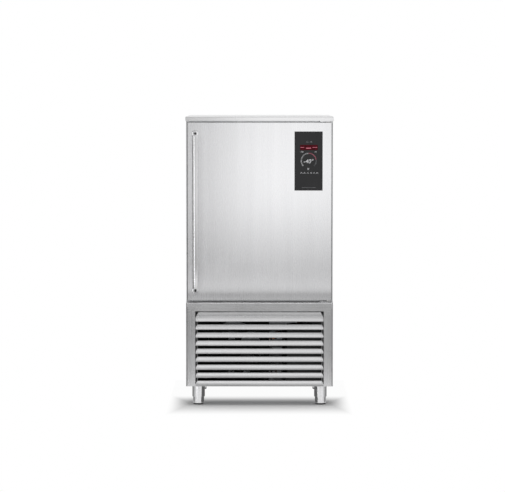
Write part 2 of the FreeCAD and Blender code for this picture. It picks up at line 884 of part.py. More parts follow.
def door_outer_skin():
    """The folded steel pan that makes the outside of the door."""
    height = ("door_bottom", "door_top")
    outer = block("skin_outer", sides("door_half"), ("front", "door_liner_front"), height)
    shaped = rounded("skin_rounded", outer, "door_bend", door_shell_edges("front", "door_half"))
    hollow = block("skin_hollow", sides("door_half - door_skin"), ("housing_front", "door_liner_front"),
                   ("door_bottom + door_skin", "door_top - door_skin"))
    inner = rounded("skin_hollow_rounded", hollow, "door_bend - door_skin",
                    door_shell_edges("housing_front", "door_half - door_skin"))
    window = block("skin_window", ("glass_left - sheet_play", "glass_right + sheet_play"),
                   ("front", "housing_front"), ("glass_bottom - sheet_play", "glass_top + sheet_play"))
    screws = [
        rod(f"skin_screw_hole_{n}", "y", spot, "screw_radius + fit_gap", "front", "housing_front")
        for n, spot in enumerate(handle_screw_spots(), start=1)
    ]
    bushes = bush_holes("skin", "bush_radius + fit_gap", ("door_bottom", "door_bottom + door_skin"),
                        ("door_top - door_skin", "door_top"))
    pan = cut("skin_pan", shaped, inner)
    subpart("door_outer_skin", cut("skin_pierced", pan, window, *screws, *bushes))


def door_foam_core():
    outer = block("core_outer", sides("door_half - door_skin"), ("housing_front", "door_liner_front"),
                  ("door_bottom + door_skin", "door_top - door_skin"))
    shaped = rounded("core_rounded", outer, "door_bend",
                     door_shell_edges("housing_front", "door_half - door_skin"))
    recess = block("core_recess", ("glass_left - housing_rim", "glass_right + housing_rim"),
                   ("housing_front", "housing_back"),
                   ("glass_bottom - housing_rim", "glass_top + housing_rim"))
    screws = [
        rod(f"core_screw_hole_{n}", "y", spot, "screw_radius + fit_gap", "housing_front",
            "front - lug_height + screw_length + fit_gap")
        for n, spot in enumerate(handle_screw_spots(), start=1)
    ]
    bushes = bush_holes("core", "bush_radius + fit_gap",
                        ("door_bottom", "door_bottom + pin_reach + bush_flange"),
                        ("door_top - pin_reach - bush_flange", "door_top"))
    subpart("door_foam_core", cut("core_cut", shaped, recess, *screws, *bushes))


def door_inner_liner():
    """The inside sheet of the door with its raised middle."""
    body = doc.addObject("PartDesign::Body", "door_liner_body")
    plate = new_sketch(body, "door_liner_plate", "XZ_Plane")
    draw_rectangle(plate, sides("door_half"), ("0", "door_top - door_bottom"))
    pad(body, plate, "door_skin")
    step = new_sketch(body, "door_liner_step", "XZ_Plane")
    draw_rectangle(step, sides("chamber_half - step_inset"),
                   ("chamber_floor - door_bottom + step_inset", "chamber_roof - door_bottom - step_inset"))
    raised = pad(body, step, "step_height", reverse=True)
    crest = value("step_height")
    round_edges(body, raised, "step_bend", lambda middle, direction: near(middle.y, crest))
    hollow = new_sketch(body, "door_liner_hollow", "XZ_Plane")
    hollow.setExpression("AttachmentOffset.Base.z", formula("door_skin"))
    draw_rectangle(hollow, sides("chamber_half - step_inset - step_bend"),
                   ("chamber_floor - door_bottom + step_inset + step_bend",
                    "chamber_roof - door_bottom - step_inset - step_bend"))
    pocket(body, hollow, "step_height")
    place(body, 0, "door_back", "door_bottom")
    subpart("door_inner_liner", body)


def door_gasket():
    """The soft seal around the door's inside, sloped on its outer edges."""
    outer_half = "chamber_half + gasket_inset + gasket_width"
    inner_half = "chamber_half + gasket_inset"
    body = doc.addObject("PartDesign::Body", "gasket_body")
    ring = new_sketch(body, "gasket_ring", "XZ_Plane")
    draw_rectangle(ring, sides(outer_half), ("chamber_floor - gasket_inset - gasket_width",
                                             "chamber_roof + gasket_inset + gasket_width"))
    draw_rectangle(ring, sides(inner_half), ("chamber_floor - gasket_inset", "chamber_roof + gasket_inset"))
    strip = pad(body, ring, "gasket_space - soft_gap", reverse=True)
    crest = value("gasket_space - soft_gap")
    round_edges(body, strip, "gasket_slope", lambda middle, direction: near(middle.y, crest), kind="Chamfer")
    place(body, 0, "door_back", 0)
    subpart("door_gasket", body)


def door_handle():
    """A bar on two posts, each with a round lug beside it on the door; the bar's outer edge is well rounded."""
    body = doc.addObject("PartDesign::Body", "handle_bar")
    side_view = new_sketch(body, "handle_side", "YZ_Plane")
    reach = "(-1) * handle_reach"
    inside = "handle_section - handle_reach"
    low, high = "bar_start", "handle_span - bar_start"
    draw_polygon(side_view, [
        ("0", low),
        (reach, low),
        (reach, high),
        ("0", high),
        ("0", f"{high} - handle_post"),
        (inside, f"{high} - handle_post"),
        (inside, f"{low} + handle_post"),
        ("0", f"{low} + handle_post"),
    ])
    bar = pad(body, side_view, "handle_width", centred=True)
    face_y = value(reach)
    edge = value("handle_width / 2")
    outside = round_edges(body, bar, "handle_round",
                          lambda middle, direction: near(middle.y, face_y) and near(middle.x, -edge))
    round_edges(body, outside, "handle_grip_round",
                lambda middle, direction: near(middle.y, face_y) and near(middle.x, edge))
    place(body, "handle_x", "front", "handle_bottom")
    lugs = [
        rod(f"handle_lug_{n}", "y", spot, "lug_radius", "front - lug_height", "front")
        for n, spot in enumerate(handle_screw_spots(), start=1)
    ]
    welded = join("handle_welded", body, *lugs)
    sockets = [
        rod(f"handle_socket_{n}", "y", spot, "screw_head_radius + fit_gap",
            "front - handle_reach", "front - lug_height + screw_head_height")
        for n, spot in enumerate(handle_screw_spots(), start=1)
    ]
    holes = [
        rod(f"handle_hole_{n}", "y", spot, "screw_radius + fit_gap",
            "front - lug_height + screw_head_height", "front")
        for n, spot in enumerate(handle_screw_spots(), start=1)
    ]
    subpart("door_handle", cut("handle_drilled", welded, *sockets, *holes))


def handle_screws():
    screws = [
        screw(f"handle_screw_{n}", *spot, "front - lug_height + screw_head_height", "screw_head_radius",
              "screw_head_height", "screw_radius", "screw_length - screw_head_height")
        for n, spot in enumerate(handle_screw_spots(), start=1)
    ]
    subpart("handle_screws", group("handle_screw_pair", screws))


def control_panel():
    """The glass front, the tray behind it and the board inside the tray."""
    across = ("glass_left", "glass_right")
    height = ("glass_bottom", "glass_top")
    subpart("control_glass", block("glass_pane", across, ("front - glass_proud", "glass_back"), height))

    def grown(pair, amount):
        return f"{pair[0]} - ({amount})", f"{pair[1]} + ({amount})"

    outer = block("housing_outer", grown(across, "housing_rim"), ("housing_front", "housing_back"),
                  grown(height, "housing_rim"))
    seat = block("housing_seat", grown(across, "sheet_play"), ("housing_front", "glass_back"),
                 grown(height, "sheet_play"))
    tray = block("housing_tray", grown(across, "(-1) * housing_step"),
                 ("glass_back", "housing_back - housing_wall"), grown(height, "(-1) * housing_step"))
    posts = [
        rod(f"board_post_{n}", "y", (x, z), "board_post_radius",
            "housing_back - housing_wall - board_post", "housing_back - housing_wall")
        for n, (x, z) in enumerate(
            [(f"{x} - ({sx}) * 3 * housing_step", f"{z} - ({sz}) * 3 * housing_step")
             for x, sx in ((across[0], -1), (across[1], 1)) for z, sz in ((height[0], -1), (height[1], 1))],
            start=1)
    ]
    shell = cut("housing_shell", outer, seat, tray)
    subpart("control_housing", join("housing_moulded", shell, *posts))

    board_back = "housing_back - housing_wall - board_post"
    subpart("control_board", block("board_sheet_piece", grown(across, "(-2) * housing_step"),
                                   (f"{board_back} - board_sheet", board_back),
                                   grown(height, "(-2) * housing_step")))


# ---------------------------------------------------------------- hinge


def hinge_bracket(label, low, high):
    """A flat plate with a pin hole and two screw holes."""
    plate = block(f"{label}_plate", ("bracket_left", "bracket_right"),
                  ("bracket_front", "bracket_front + bracket_depth"), (low, high))
    left, right, lip = value("bracket_left"), value("bracket_right"), value("bracket_front")
    shaped = rounded(f"{label}_rounded", plate, "bracket_edge / 2",
                     lambda middle, direction: near(middle.y, lip) and abs(direction.z) > 0.9
                     and (near(middle.x, left) or near(middle.x, right)))
    pin_hole = rod(f"{label}_pin_hole", "z", ("pivot_x", "pivot_y"), "pin_radius + running_gap", low, high)
    subpart(label, cut(f"{label}_drilled", shaped, pin_hole, *bracket_screw_holes(label, low, high)))


def hinge_pins():
    """Two pins, each with a collar that spaces the door from its bracket."""
    axis = ("pivot_x", "pivot_y")
    lower = join(
        "lower_pin",
        rod("lower_pin_shank", "z", axis, "pin_radius", "bay_top", "door_bottom + pin_reach"),
        rod("lower_pin_collar", "z", axis, "collar_radius", "lower_bracket_top", "door_bottom - bush_flange"))
    upper = join(
        "upper_pin",
        rod("upper_pin_shank", "z", axis, "pin_radius", "door_top - pin_reach", "cover_bottom"),
        rod("upper_pin_collar", "z", axis, "collar_radius", "door_top + bush_flange + soft_gap",
            "upper_bracket_bottom"))
    subpart("hinge_pins", group("hinge_pin_pair", [lower, upper]))


def hinge_bushes():
    """Plain bushes in the door's lower and upper edges, each with a flange outside."""
    axis = ("pivot_x", "pivot_y")
    rim = "bush_radius + bush_rim"
    bushes = []
    for name, neck, flange in (
            ("lower", ("door_bottom", "door_bottom + pin_reach + bush_tail"),
             ("door_bottom - bush_flange", "door_bottom")),
            ("upper", ("door_top - pin_reach - bush_tail", "door_top"),
             ("door_top", "door_top + bush_flange"))):
        solid = join(f"{name}_bush_solid", rod(f"{name}_bush_neck", "z", axis, "bush_radius", *neck),
                     rod(f"{name}_bush_flange", "z", axis, rim, *flange))
        bore = rod(f"{name}_bush_bore", "z", axis, "pin_radius + running_gap",
                   min(neck[0], flange[0], key=value), max(neck[1], flange[1], key=value))
        bushes.append(cut(f"{name}_bush", solid, bore))
    subpart("hinge_bushes", group("hinge_bush_pair", bushes))


def hinge_screws():
    """Two screws in each bracket, driven into the rail and into the header."""
    screws = []
    for n in range(2):
        spot = ("bracket_screw_x", f"pivot_y + {n} * bracket_screw_pitch")
        screws.append(join(
            f"lower_bracket_screw_{n}",
            rod(f"lower_bracket_head_{n}", "z", spot, "panel_screw_head", "lower_bracket_top",
                "lower_bracket_top + panel_screw_head_height"),
            rod(f"lower_bracket_shank_{n}", "z", spot, "panel_screw_radius", "bay_top - 2 * casing",
                "lower_bracket_top")))
        screws.append(join(
            f"upper_bracket_screw_{n}",
            rod(f"upper_bracket_head_{n}", "z", spot, "panel_screw_head",
                "upper_bracket_bottom - panel_screw_head_height", "upper_bracket_bottom"),
            rod(f"upper_bracket_shank_{n}", "z", spot, "panel_screw_radius", "upper_bracket_bottom",
                "cover_bottom + 2 * casing")))
    subpart("hinge_bracket_screws", group("hinge_screw_set", screws))


# ---------------------------------------------------------------- chamber


def tray_rack(side, label):
    """Two posts against the wall with runners that carry the trays."""
    def across(near_wall, inside):
        return sorted([f"({side}) * ({near_wall})", f"({side}) * ({inside})"], key=value)

    pieces = []
    for name, low in (("front", "rack_front"), ("rear", "rack_back - post_width")):
        pieces.append(block(f"{label}_{name}_post", across("chamber_half", "post_face"),
                            (low, f"{low} + post_width"),
                            ("chamber_floor + liner_corner", "chamber_floor + rack_height")))
    for n in range(int(value("runner_count"))):
        low = f"chamber_floor + runner_first + {n} * runner_pitch"
        pieces.append(block(f"{label}_runner_{n + 1}", across("post_face", "post_face - runner_width"),
                            ("rack_front", "rack_back"), (low, f"{low} + runner_sheet")))
    subpart(label, group(f"{label}_pieces", pieces))


def fan_panel():
    """The upright sheet in front of the evaporator, with a round opening for each fan."""
    body = doc.addObject("PartDesign::Body", "fan_panel_body")
    outline = new_sketch(body, "fan_panel_outline", "XY_Plane")
    edge = "chamber_half"
    draw_polygon(outline, [
        (f"(-1) * {edge}", "fan_panel_y"),
        (edge, "fan_panel_y"),
        (edge, "fan_panel_y + fan_panel_flange"),
        (f"{edge} - casing", "fan_panel_y + fan_panel_flange"),
        (f"{edge} - casing", "fan_panel_y + casing"),
        (f"casing - {edge}", "fan_panel_y + casing"),
        (f"casing - {edge}", "fan_panel_y + fan_panel_flange"),
        (f"(-1) * {edge}", "fan_panel_y + fan_panel_flange"),
    ])
    pad(body, outline, "chamber_roof - chamber_floor - 2 * fan_panel_air_gap")
    openings = new_sketch(body, "fan_panel_openings", "XZ_Plane")
    for centre in ("upper_fan_z", "lower_fan_z"):
        draw_circle(openings, ("0", f"{centre} - chamber_floor - fan_panel_air_gap"), "fan_opening_radius")
    pocket(body, openings, "2 * cabinet_depth", centred=True)
    place(body, 0, 0, "chamber_floor + fan_panel_air_gap")
    subpart("fan_panel", body)


def fan_guard(name, z):
    """A grille of rings on spokes around a plate that carries the motor."""
    body = doc.addObject("PartDesign::Body", name)
    rings = new_sketch(body, f"{name}_hub", "XY_Plane")
    draw_circle(rings, ("0", "0"), "guard_hub_radius")
    pad(body, rings, "guard_sheet")
    spoke = new_sketch(body, f"{name}_spoke", "XY_Plane")
    draw_rectangle(spoke, ("0", "guard_radius - guard_wire / 2"), sides("guard_wire / 2"))
    spoke_pad = pad(body, spoke, "guard_sheet")
    repeat_around(body, spoke_pad, "guard_spoke_count")
    ring_count = int(value("guard_ring_count"))
    for n in range(1, ring_count + 1):
        ring = new_sketch(body, f"{name}_ring_{n}", "XY_Plane")
        outer = f"guard_hub_radius + {n} * (guard_radius - guard_hub_radius) / guard_ring_count"
        draw_circle(ring, ("0", "0"), outer)
        draw_circle(ring, ("0", "0"), f"{outer} - guard_wire")
        pad(body, ring, "guard_sheet")
    body.Placement = Placement(Vector(), Y_TURN)
    place(body, 0, "fan_panel_y - guard_sheet", z)
    return body


def fan_motor(name, centre, y, radius, length):
    """A motor can with a blind bore at its rear end for the fan's shaft."""
    can = rod(f"{name}_can", "y", centre, radius, y, f"{y} + {length}")
    bore = rod(f"{name}_bore", "y", centre, "shaft_radius + running_gap",
               f"{y} + {length} - motor_bore_depth", f"{y} + {length}")
    return cut(name, can, bore)


def fan_wheel(label, centre, hub_start, reach, shaft_start, shaft_end):
    """A hub with leaning blades, and the shaft that runs in the motor's bore."""
    body = doc.addObject("PartDesign::Body", f"{label}_wheel")
    hub = new_sketch(body, f"{label}_hub", "XY_Plane")
    draw_circle(hub, ("0", "0"), "fan_hub_radius")
    pad(body, hub, "fan_hub_length")
    blade = new_sketch(body, f"{label}_blade", "YZ_Plane")
    half_chord = "blade_chord / 2"
    draw_polygon(blade, [
        (f"(-1) * {half_chord}", "blade_margin"),
        (f"blade_sheet - {half_chord}", "blade_margin"),
        (half_chord, "fan_hub_length - blade_margin"),
        (f"{half_chord} - blade_sheet", "fan_hub_length - blade_margin"),
    ])
    repeat_around(body, pad(body, blade, reach), "blade_count")
    body.Placement = Placement(Vector(), Y_TURN)
    place(body, centre[0], hub_start, centre[1])
    shaft = rod(f"{label}_shaft", "y", centre, "shaft_radius", shaft_start, shaft_end)
    subpart(label, join(f"{label}_assembled", body, shaft))


def chamber_fans():
    guards = [fan_guard("upper_guard", "upper_fan_z"), fan_guard("lower_guard", "lower_fan_z")]
    subpart("fan_guards", group("fan_guard_pair", guards))
    motors = [
        fan_motor(f"{name}_fan_motor", ("0", z), "fan_panel_y", "motor_radius", "motor_length")
        for name, z in (("upper", "upper_fan_z"), ("lower", "lower_fan_z"))
    ]
    subpart("evaporator_fan_motors", group("evaporator_motor_pair", motors))
    motor_end = "fan_panel_y + motor_length"
    for name, z in (("upper", "upper_fan_z"), ("lower", "lower_fan_z")):
        fan_wheel(f"evaporator_fan_{name}", ("0", z), f"{motor_end} + fan_gap", "fan_blade_reach",
                  f"{motor_end} - motor_bore_depth + shaft_end_gap", f"{motor_end} + fan_gap")


def fin_block(name, x, y, z):
    """A row of upright fins joined by a thin web in the middle of their depth."""
    (left, right), (front, back), (low, high) = x, y, z
    width, depth = f"(({right}) - ({left}))", f"(({back}) - ({front}))"
    body = doc.addObject("PartDesign::Body", name)
    outline = new_sketch(body, f"{name}_outline", "XY_Plane")
    draw_rectangle(outline, ("0", width), ("0", depth))
    pad(body, outline, f"({high}) - ({low})")
    slot = new_sketch(body, f"{name}_slot", "XY_Plane")
    for edges in (("0", f"({depth} - fin_web) / 2"), (f"({depth} + fin_web) / 2", depth)):
        draw_rectangle(slot, ("fin_sheet", "fin_pitch"), edges)
    cutter = pocket(body, slot, f"({high}) - ({low})", reverse=True)
    pattern = body.newObject("PartDesign::LinearPattern", f"{name}_slots")
    pattern.Originals = [cutter]
    pattern.Direction = (origin_part(body, "X_Axis"), [""])
    count = int(value(f"({width} - fin_sheet) / fin_pitch"))
    pattern.Occurrences = count
    bind(pattern, Length=f"{count - 1} * fin_pitch")
    body.Tip = pattern
    place(body, left, front, low)
    return body


def finned_coil(label, x, y, z, foot):
    """A fin block between two end plates, with return bends outside each plate."""
    (left, right), (front, back), (low, high) = x, y, z
    core = fin_block(f"{label}_core", x, y, z)
    plates = [
        block(f"{label}_left_plate", (f"{left} - coil_end_sheet", left), y, (foot, high)),
        block(f"{label}_right_plate", (right, f"{right} + coil_end_sheet"), y, (foot, high)),
    ]
    count = int(value("coil_bend_count"))
    middle = f"({front} + {back}) / 2"
    bends = []
    ends = (("left", f"{left} - coil_end_sheet", 90), ("right", f"{right} + coil_end_sheet", -90))
    for hand, plane, turn in ends:
        for n in range(count):
            bend = doc.addObject("Part::Torus", f"{label}_{hand}_bend_{n + 1}")
            bend.Angle3 = 180
            bind(bend, Radius1="coil_bend_radius", Radius2="coil_tube_radius")
            bend.Placement = Placement(Vector(), Rotation(Vector(0, 0, 1), turn))
            place(bend, plane, middle, f"{low} + ({high} - ({low})) * {2 * n + 1} / {2 * count}")
            bends.append(bend)
    subpart(label, join(f"{label}_brazed", core, *plates, *bends))


def drain_pipe():
    tube = rod("drain_tube", "z", ("0", "drain_y"), "drain_radius", "bay_top - drain_drop", "chamber_floor")
    rim = rod("drain_rim_disc", "z", ("0", "drain_y"), "drain_radius + drain_rim", "chamber_floor",
              "chamber_floor + drain_wall")
    bore = rod("drain_bore", "z", ("0", "drain_y"), "drain_radius - drain_wall", "bay_top - drain_drop",
               "chamber_floor + drain_wall")
    subpart("drain_pipe", cut("drain_open", join("drain_solid", tube, rim), bore))


# ---------------------------------------------------------------- machine compartment


def condenser_fan_set():
    """The shroud behind the condenser, its motor on a bracket, and the fan between them."""
    across = ("condenser_left", "condenser_right")
    height = ("pan_top", "condenser_top")
    centre = ("condenser_fan_x", "condenser_fan_z")
    outer = block("shroud_outer", across, ("condenser_back", "shroud_back"), height)
    inner = block("shroud_inner", ("condenser_left + shroud_sheet", "condenser_right - shroud_sheet"),
                  ("condenser_back", "shroud_back - shroud_sheet"),
                  ("pan_top + shroud_sheet", "condenser_top - shroud_sheet"))
    hole = rod("shroud_hole", "y", centre, "condenser_fan_opening", "shroud_back - shroud_sheet",
               "shroud_back")
    subpart("condenser_fan_shroud", cut("shroud_pierced", cut("shroud_shell", outer, inner), hole))

    # The motor is behind the fan, so its bore opens forwards.
    motor_front = "shroud_back + fan_gap"
    motor_back = f"{motor_front} + condenser_motor_length"
    can = rod("condenser_motor_can", "y", centre, "condenser_motor_radius", motor_front, motor_back)
    arm_x = "(condenser_fan_opening + condenser_bracket_width / 2)"
    arm_z = ("condenser_fan_z - condenser_bracket_width / 2", "condenser_fan_z + condenser_bracket_width / 2")
    left_arm, right_arm = f"condenser_fan_x - {arm_x}", f"condenser_fan_x + {arm_x}"
    strap = block("motor_strap", (left_arm, right_arm),
                  (motor_back, f"{motor_back} + condenser_bracket_sheet"), arm_z)
    arm_y = ("shroud_back", motor_back)
    arms = [
        block("motor_arm_left", (left_arm, f"{left_arm} + condenser_bracket_sheet"), arm_y, arm_z),
        block("motor_arm_right", (f"{right_arm} - condenser_bracket_sheet", right_arm), arm_y, arm_z),
    ]
    solid = join("condenser_motor_solid", can, strap, *arms)
    bore = rod("condenser_motor_bore", "y", centre, "shaft_radius + running_gap", motor_front,
               f"{motor_front} + motor_bore_depth")
    subpart("condenser_fan_motor", cut("condenser_motor_bored", solid, bore))

    fan_wheel("condenser_fan", centre, "shroud_back - fan_hub_length", "condenser_blade_reach",
              "shroud_back", f"{motor_front} + motor_bore_depth - shaft_end_gap")


def compressor():
    """A welded can on a plate, with a suction and a discharge stub."""
    centre = ("compressor_x", "compressor_y")
    can_top = "can_bottom + compressor_height"
    can = rod("compressor_can", "z", centre, "compressor_radius", "can_bottom", can_top)
    crest = value(can_top)
    domed = rounded("compressor_domed", can, "compressor_dome",
                    lambda middle, direction: near(middle.z, crest))
    plate_half = "compressor_plate_width / 2"
    plate = block("compressor_plate_piece",
                  (f"compressor_x - {plate_half}", f"compressor_x + {plate_half}"),
                  (f"compressor_y - {plate_half}", f"compressor_y + {plate_half}"),
                  ("compressor_bottom", "can_bottom"))
    discharge = rod("discharge_stub", "x", ("compressor_y", "stub_z"), "stub_radius",
                    "compressor_x - compressor_radius - stub_length", "compressor_x")
    suction = rod("suction_stub", "y", ("compressor_x", "stub_z"), "suction_stub_radius",
                  "compressor_y", "compressor_y + compressor_radius + stub_length")
    subpart("compressor", join("compressor_welded", domed, plate, discharge, suction))
    offset = "compressor_plate_width / 2 - grommet_radius"
    grommets = [
        rod(f"compressor_grommet_{n}", "z",
            (f"compressor_x + {sx} * ({offset})", f"compressor_y + {sy} * ({offset})"),
            "grommet_radius", "pan_top", "compressor_bottom")
        for n, (sx, sy) in enumerate([(-1, -1), (-1, 1), (1, -1), (1, 1)], start=1)
    ]
    subpart("compressor_grommets", group("compressor_grommet_set", grommets))


def vessel(name, centre, radius, low, high, dome):
    """An upright cylinder with both ends rounded."""
    can = rod(f"{name}_can", "z", centre, radius, low, high)
    ends = (value(low), value(high))
    return rounded(f"{name}_domed", can, dome,
                   lambda middle, direction: near(middle.z, ends[0]) or near(middle.z, ends[1]))


def receiver_and_drier():
    receiver_at = ("receiver_x", "receiver_y")
    shell = vessel("receiver", receiver_at, "receiver_radius", "pan_top", "receiver_top", "receiver_dome")
    inlet = rod("receiver_inlet", "x", ("receiver_y", "pan_top + low_pipe_rise"), "stub_radius",
                "receiver_x", "receiver_stub_end")
    subpart("liquid_receiver", join("receiver_welded", shell, inlet))
    subpart("filter_drier", vessel("drier", ("receiver_x", "riser_y"), "drier_radius",
                                   "drier_bottom", "drier_top", "drier_dome"))


def bent_pipe(points, radius, bend):
    """A round pipe through corner points, with the same bend radius at each corner."""
    edges = []
    start = points[0]
    for corner, after in zip(points[1:-1], points[2:]):
        arriving = (corner - start).normalize()
        leaving = (after - corner).normalize()
        into = corner - arriving * bend
        out = corner + leaving * bend
        centre = corner + (leaving - arriving) * bend
        middle = centre + (corner - centre).normalize() * bend
        edges.append(Part.LineSegment(start, into).toShape())
        edges.append(Part.Arc(into, middle, out).toShape())
        start = out
    edges.append(Part.LineSegment(start, points[-1]).toShape())
    first = (points[1] - points[0]).normalize()
    section = Part.Wire([Part.makeCircle(radius, points[0], first)])
    return Part.Wire(edges).makePipeShell([section], True, False)


def refrigerant_pipes():
    """Discharge, condensate, liquid and suction lines, each a separate length of copper tube."""
    run_x = "condenser_right + coil_end_sheet + pipe_run_gap"
    coil_y = "(condenser_front + condenser_back) / 2"
    plate_x = "condenser_right + coil_end_sheet"
    stub_end = "compressor_x - compressor_radius - stub_length"
    low_z = "pan_top + low_pipe_rise"
    bend_z = "receiver_top + riser_loop"
    routes = {
        "discharge_line": ("pipe_radius", [
            (stub_end, "compressor_y", "stub_z"),
            (run_x, "compressor_y", "stub_z"),
            (run_x, coil_y, "stub_z"),
            (plate_x, coil_y, "stub_z"),
        ]),
        "condenser_outlet": ("pipe_radius", [
            (plate_x, coil_y, low_z),
            (run_x, coil_y, low_z),
            (run_x, "receiver_y", low_z),
            ("receiver_stub_end", "receiver_y", low_z),
        ]),
        "receiver_outlet": ("pipe_radius", [
            ("receiver_x", "receiver_y", "receiver_top"),
            ("receiver_x", "receiver_y", bend_z),
            ("receiver_x", "riser_y", bend_z),
            ("receiver_x", "riser_y", "drier_bottom"),
        ]),
        "liquid_line": ("pipe_radius", [
            ("receiver_x", "riser_y", "drier_top"),
            ("receiver_x", "riser_y", "coil_bottom"),
        ]),
        "suction_line": ("suction_radius", [
            ("compressor_x", "riser_y", "coil_bottom"),
            ("compressor_x", "riser_y", "stub_z"),
            ("compressor_x", "compressor_y + compressor_radius + stub_length", "stub_z"),
        ]),
    }
    pieces = []
    for name, (radius, route) in routes.items():
        points = [Vector(*(value(text) for text in spot)) for spot in route]
        pipe = doc.addObject("Part::Feature", name)
        pipe.Shape = bent_pipe(points, value(radius), value("pipe_bend"))
        pieces.append(pipe)
    subpart("refrigerant_pipes", group("pipe_set", pieces))


def electrical_box():
    """A steel box for the switchgear, with a separate lid at its front."""
    across = ("control_box_left", "control_box_left + control_box_width")
    depth = ("condenser_front", "condenser_front + control_box_depth")
    height = ("pan_top", "pan_top + control_box_height")
    gauge = "control_box_sheet"
    outer = block("box_outer", across, (f"{depth[0]} + {gauge}", depth[1]), height)
    inner = block("box_inner", (f"{across[0]} + {gauge}", f"{across[1]} - {gauge}"),
                  (f"{depth[0]} + {gauge}", f"{depth[1]} - {gauge}"),
                  (f"{height[0]} + {gauge}", f"{height[1]} - {gauge}"))
    subpart("electrical_box", cut("box_shell", outer, inner))
    subpart("electrical_box_cover", block("box_lid", across, (depth[0], f"{depth[0]} + {gauge}"), height))


def inlet_grommet():
    """The rubber ring that lines the supply inlet of the rear vent panel."""
    centre = ("inlet_x", "leg_height + inlet_rise")
    neck = rod("inlet_neck", "y", centre, "inlet_neck_radius - fit_gap", "rear_sheet", "back - casing")
    outside = rod("inlet_outer_rim", "y", centre, "inlet_neck_radius + inlet_rim", "back - casing", "back")
    inside = rod("inlet_inner_rim", "y", centre, "inlet_neck_radius + inlet_rim", "rear_sheet - casing",
                 "rear_sheet")
    bore = rod("inlet_bore", "y", centre, "grommet_bore", "rear_sheet - casing", "back")
    subpart("inlet_grommet", cut("inlet_ring", join("inlet_solid", neck, outside, inside), bore))


# ---------------------------------------------------------------- legs


LEGS = {
    "front_left": ("(-1) * leg_x", "front_leg_y"),
    "front_right": ("leg_x", "front_leg_y"),
    "rear_left": ("(-1) * leg_x", "rear_leg_y"),
    "rear_right": ("leg_x", "rear_leg_y"),
}


def turned(name, points, x, y):
    """A piece turned about an upright axis from a half outline of radius and height."""
    body = doc.addObject("PartDesign::Body", name)
    outline = new_sketch(body, f"{name}_outline", "XZ_Plane")
    draw_polygon(outline, points)
    revolve(body, outline)
    place(body, x, y, 0)
    return body


def legs():
    """Leg tubes with a top plate and a threaded plate, and under each a foot on a spindle with a pad."""
    bore = "spindle_radius + running_gap"
    inner = "leg_radius - leg_wall"
    tube_outline = [
        (inner, "leg_open"),
        ("leg_radius", "leg_open"),
        ("leg_radius", "leg_height"),
        ("0", "leg_height"),
        ("0", "leg_height - leg_top_plate"),
        (inner, "leg_height - leg_top_plate"),
        (inner, "nut_rise + nut_plate"),
        (bore, "nut_rise + nut_plate"),
        (bore, "nut_rise"),
        (inner, "nut_rise"),
    ]
    tubes = [turned(f"{place_name}_leg", tube_outline, *spot) for place_name, spot in LEGS.items()]
    subpart("leg_tubes", group("leg_tube_set", tubes))
    foot_outline = [
        ("0", "pad_height"),
        ("foot_radius - foot_edge", "pad_height"),
        ("foot_radius", "pad_height + foot_edge"),
        ("foot_radius", "foot_top - foot_edge"),
        ("foot_radius - foot_edge", "foot_top"),
        ("spindle_radius", "foot_top"),
        ("spindle_radius", "spindle_top"),
        ("0", "spindle_top"),
    ]
    pad_outline = [
        ("0", "0"),
        ("foot_radius - foot_edge", "0"),
        ("foot_radius - foot_edge / 2", "pad_height"),
        ("0", "pad_height"),
    ]
    for place_name, spot in LEGS.items():
        subpart(f"foot_{place_name}", turned(f"{place_name}_foot", foot_outline, *spot))
        subpart(f"foot_pad_{place_name}", turned(f"{place_name}_pad", pad_outline, *spot))


# ---------------------------------------------------------------- assembly


def build():
    side_panel(-1, "side_panel_left")
    side_panel(1, "side_panel_right")
    rear_panels()
    rear_screws()
    top_cover()
    header_channel()
    front_surround()
    bay_deck()
    insulation()
    chamber_liner()
    base_pan()
    lower_rail()
    lower_stile(-1, "lower_stile_left")
    lower_stile(1, "lower_stile_right")
    louvre_panel()
    door_outer_skin()
    door_foam_core()
    door_inner_liner()
    door_gasket()
    door_handle()
    handle_screws()
    control_panel()
    hinge_bracket("lower_hinge_bracket", "bay_top", "lower_bracket_top")
    hinge_bracket("upper_hinge_bracket", "upper_bracket_bottom", "cover_bottom")
    hinge_pins()
    hinge_bushes()
    hinge_screws()
    tray_rack(-1, "tray_rack_left")
    tray_rack(1, "tray_rack_right")
    fan_panel()
    chamber_fans()
    finned_coil("evaporator_coil", sides("coil_width / 2"), ("coil_front", "coil_front + coil_depth"),
                ("coil_bottom", "chamber_roof - coil_air_gap"), "chamber_floor")
    drain_pipe()
    finned_coil("condenser_coil", ("condenser_left", "condenser_right"),
                ("condenser_front", "condenser_back"), ("pan_top", "condenser_top"), "pan_top")
    condenser_fan_set()
    compressor()
    receiver_and_drier()
    refrigerant_pipes()
    electrical_box()
    inlet_grommet()
    legs()


def export():
    """Checks every object and every sub-part, then writes one file for each sub-part."""
    doc.recompute()
    for thing in doc.Objects:
        if "Invalid" in thing.State or "Error" in thing.State:
            raise RuntimeError(f"{thing.Label} could not be built: {thing.State}")
    for thing in subparts:
        if thing.Shape.isNull() or not thing.Shape.isValid():
            raise RuntimeError(f"{thing.Label} has no valid shape")
    os.makedirs("parts", exist_ok=True)
    for thing in subparts:
        thing.Shape.exportStep(f"parts/{thing.Label}.step")
    print(f"{len(subparts)} sub-parts written")


build()
export()
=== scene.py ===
"""Looks of the blast chiller: materials, the finer visible pieces, studio and camera."""

import json
import math

import bmesh
import bpy
from mathutils import Matrix, Vector

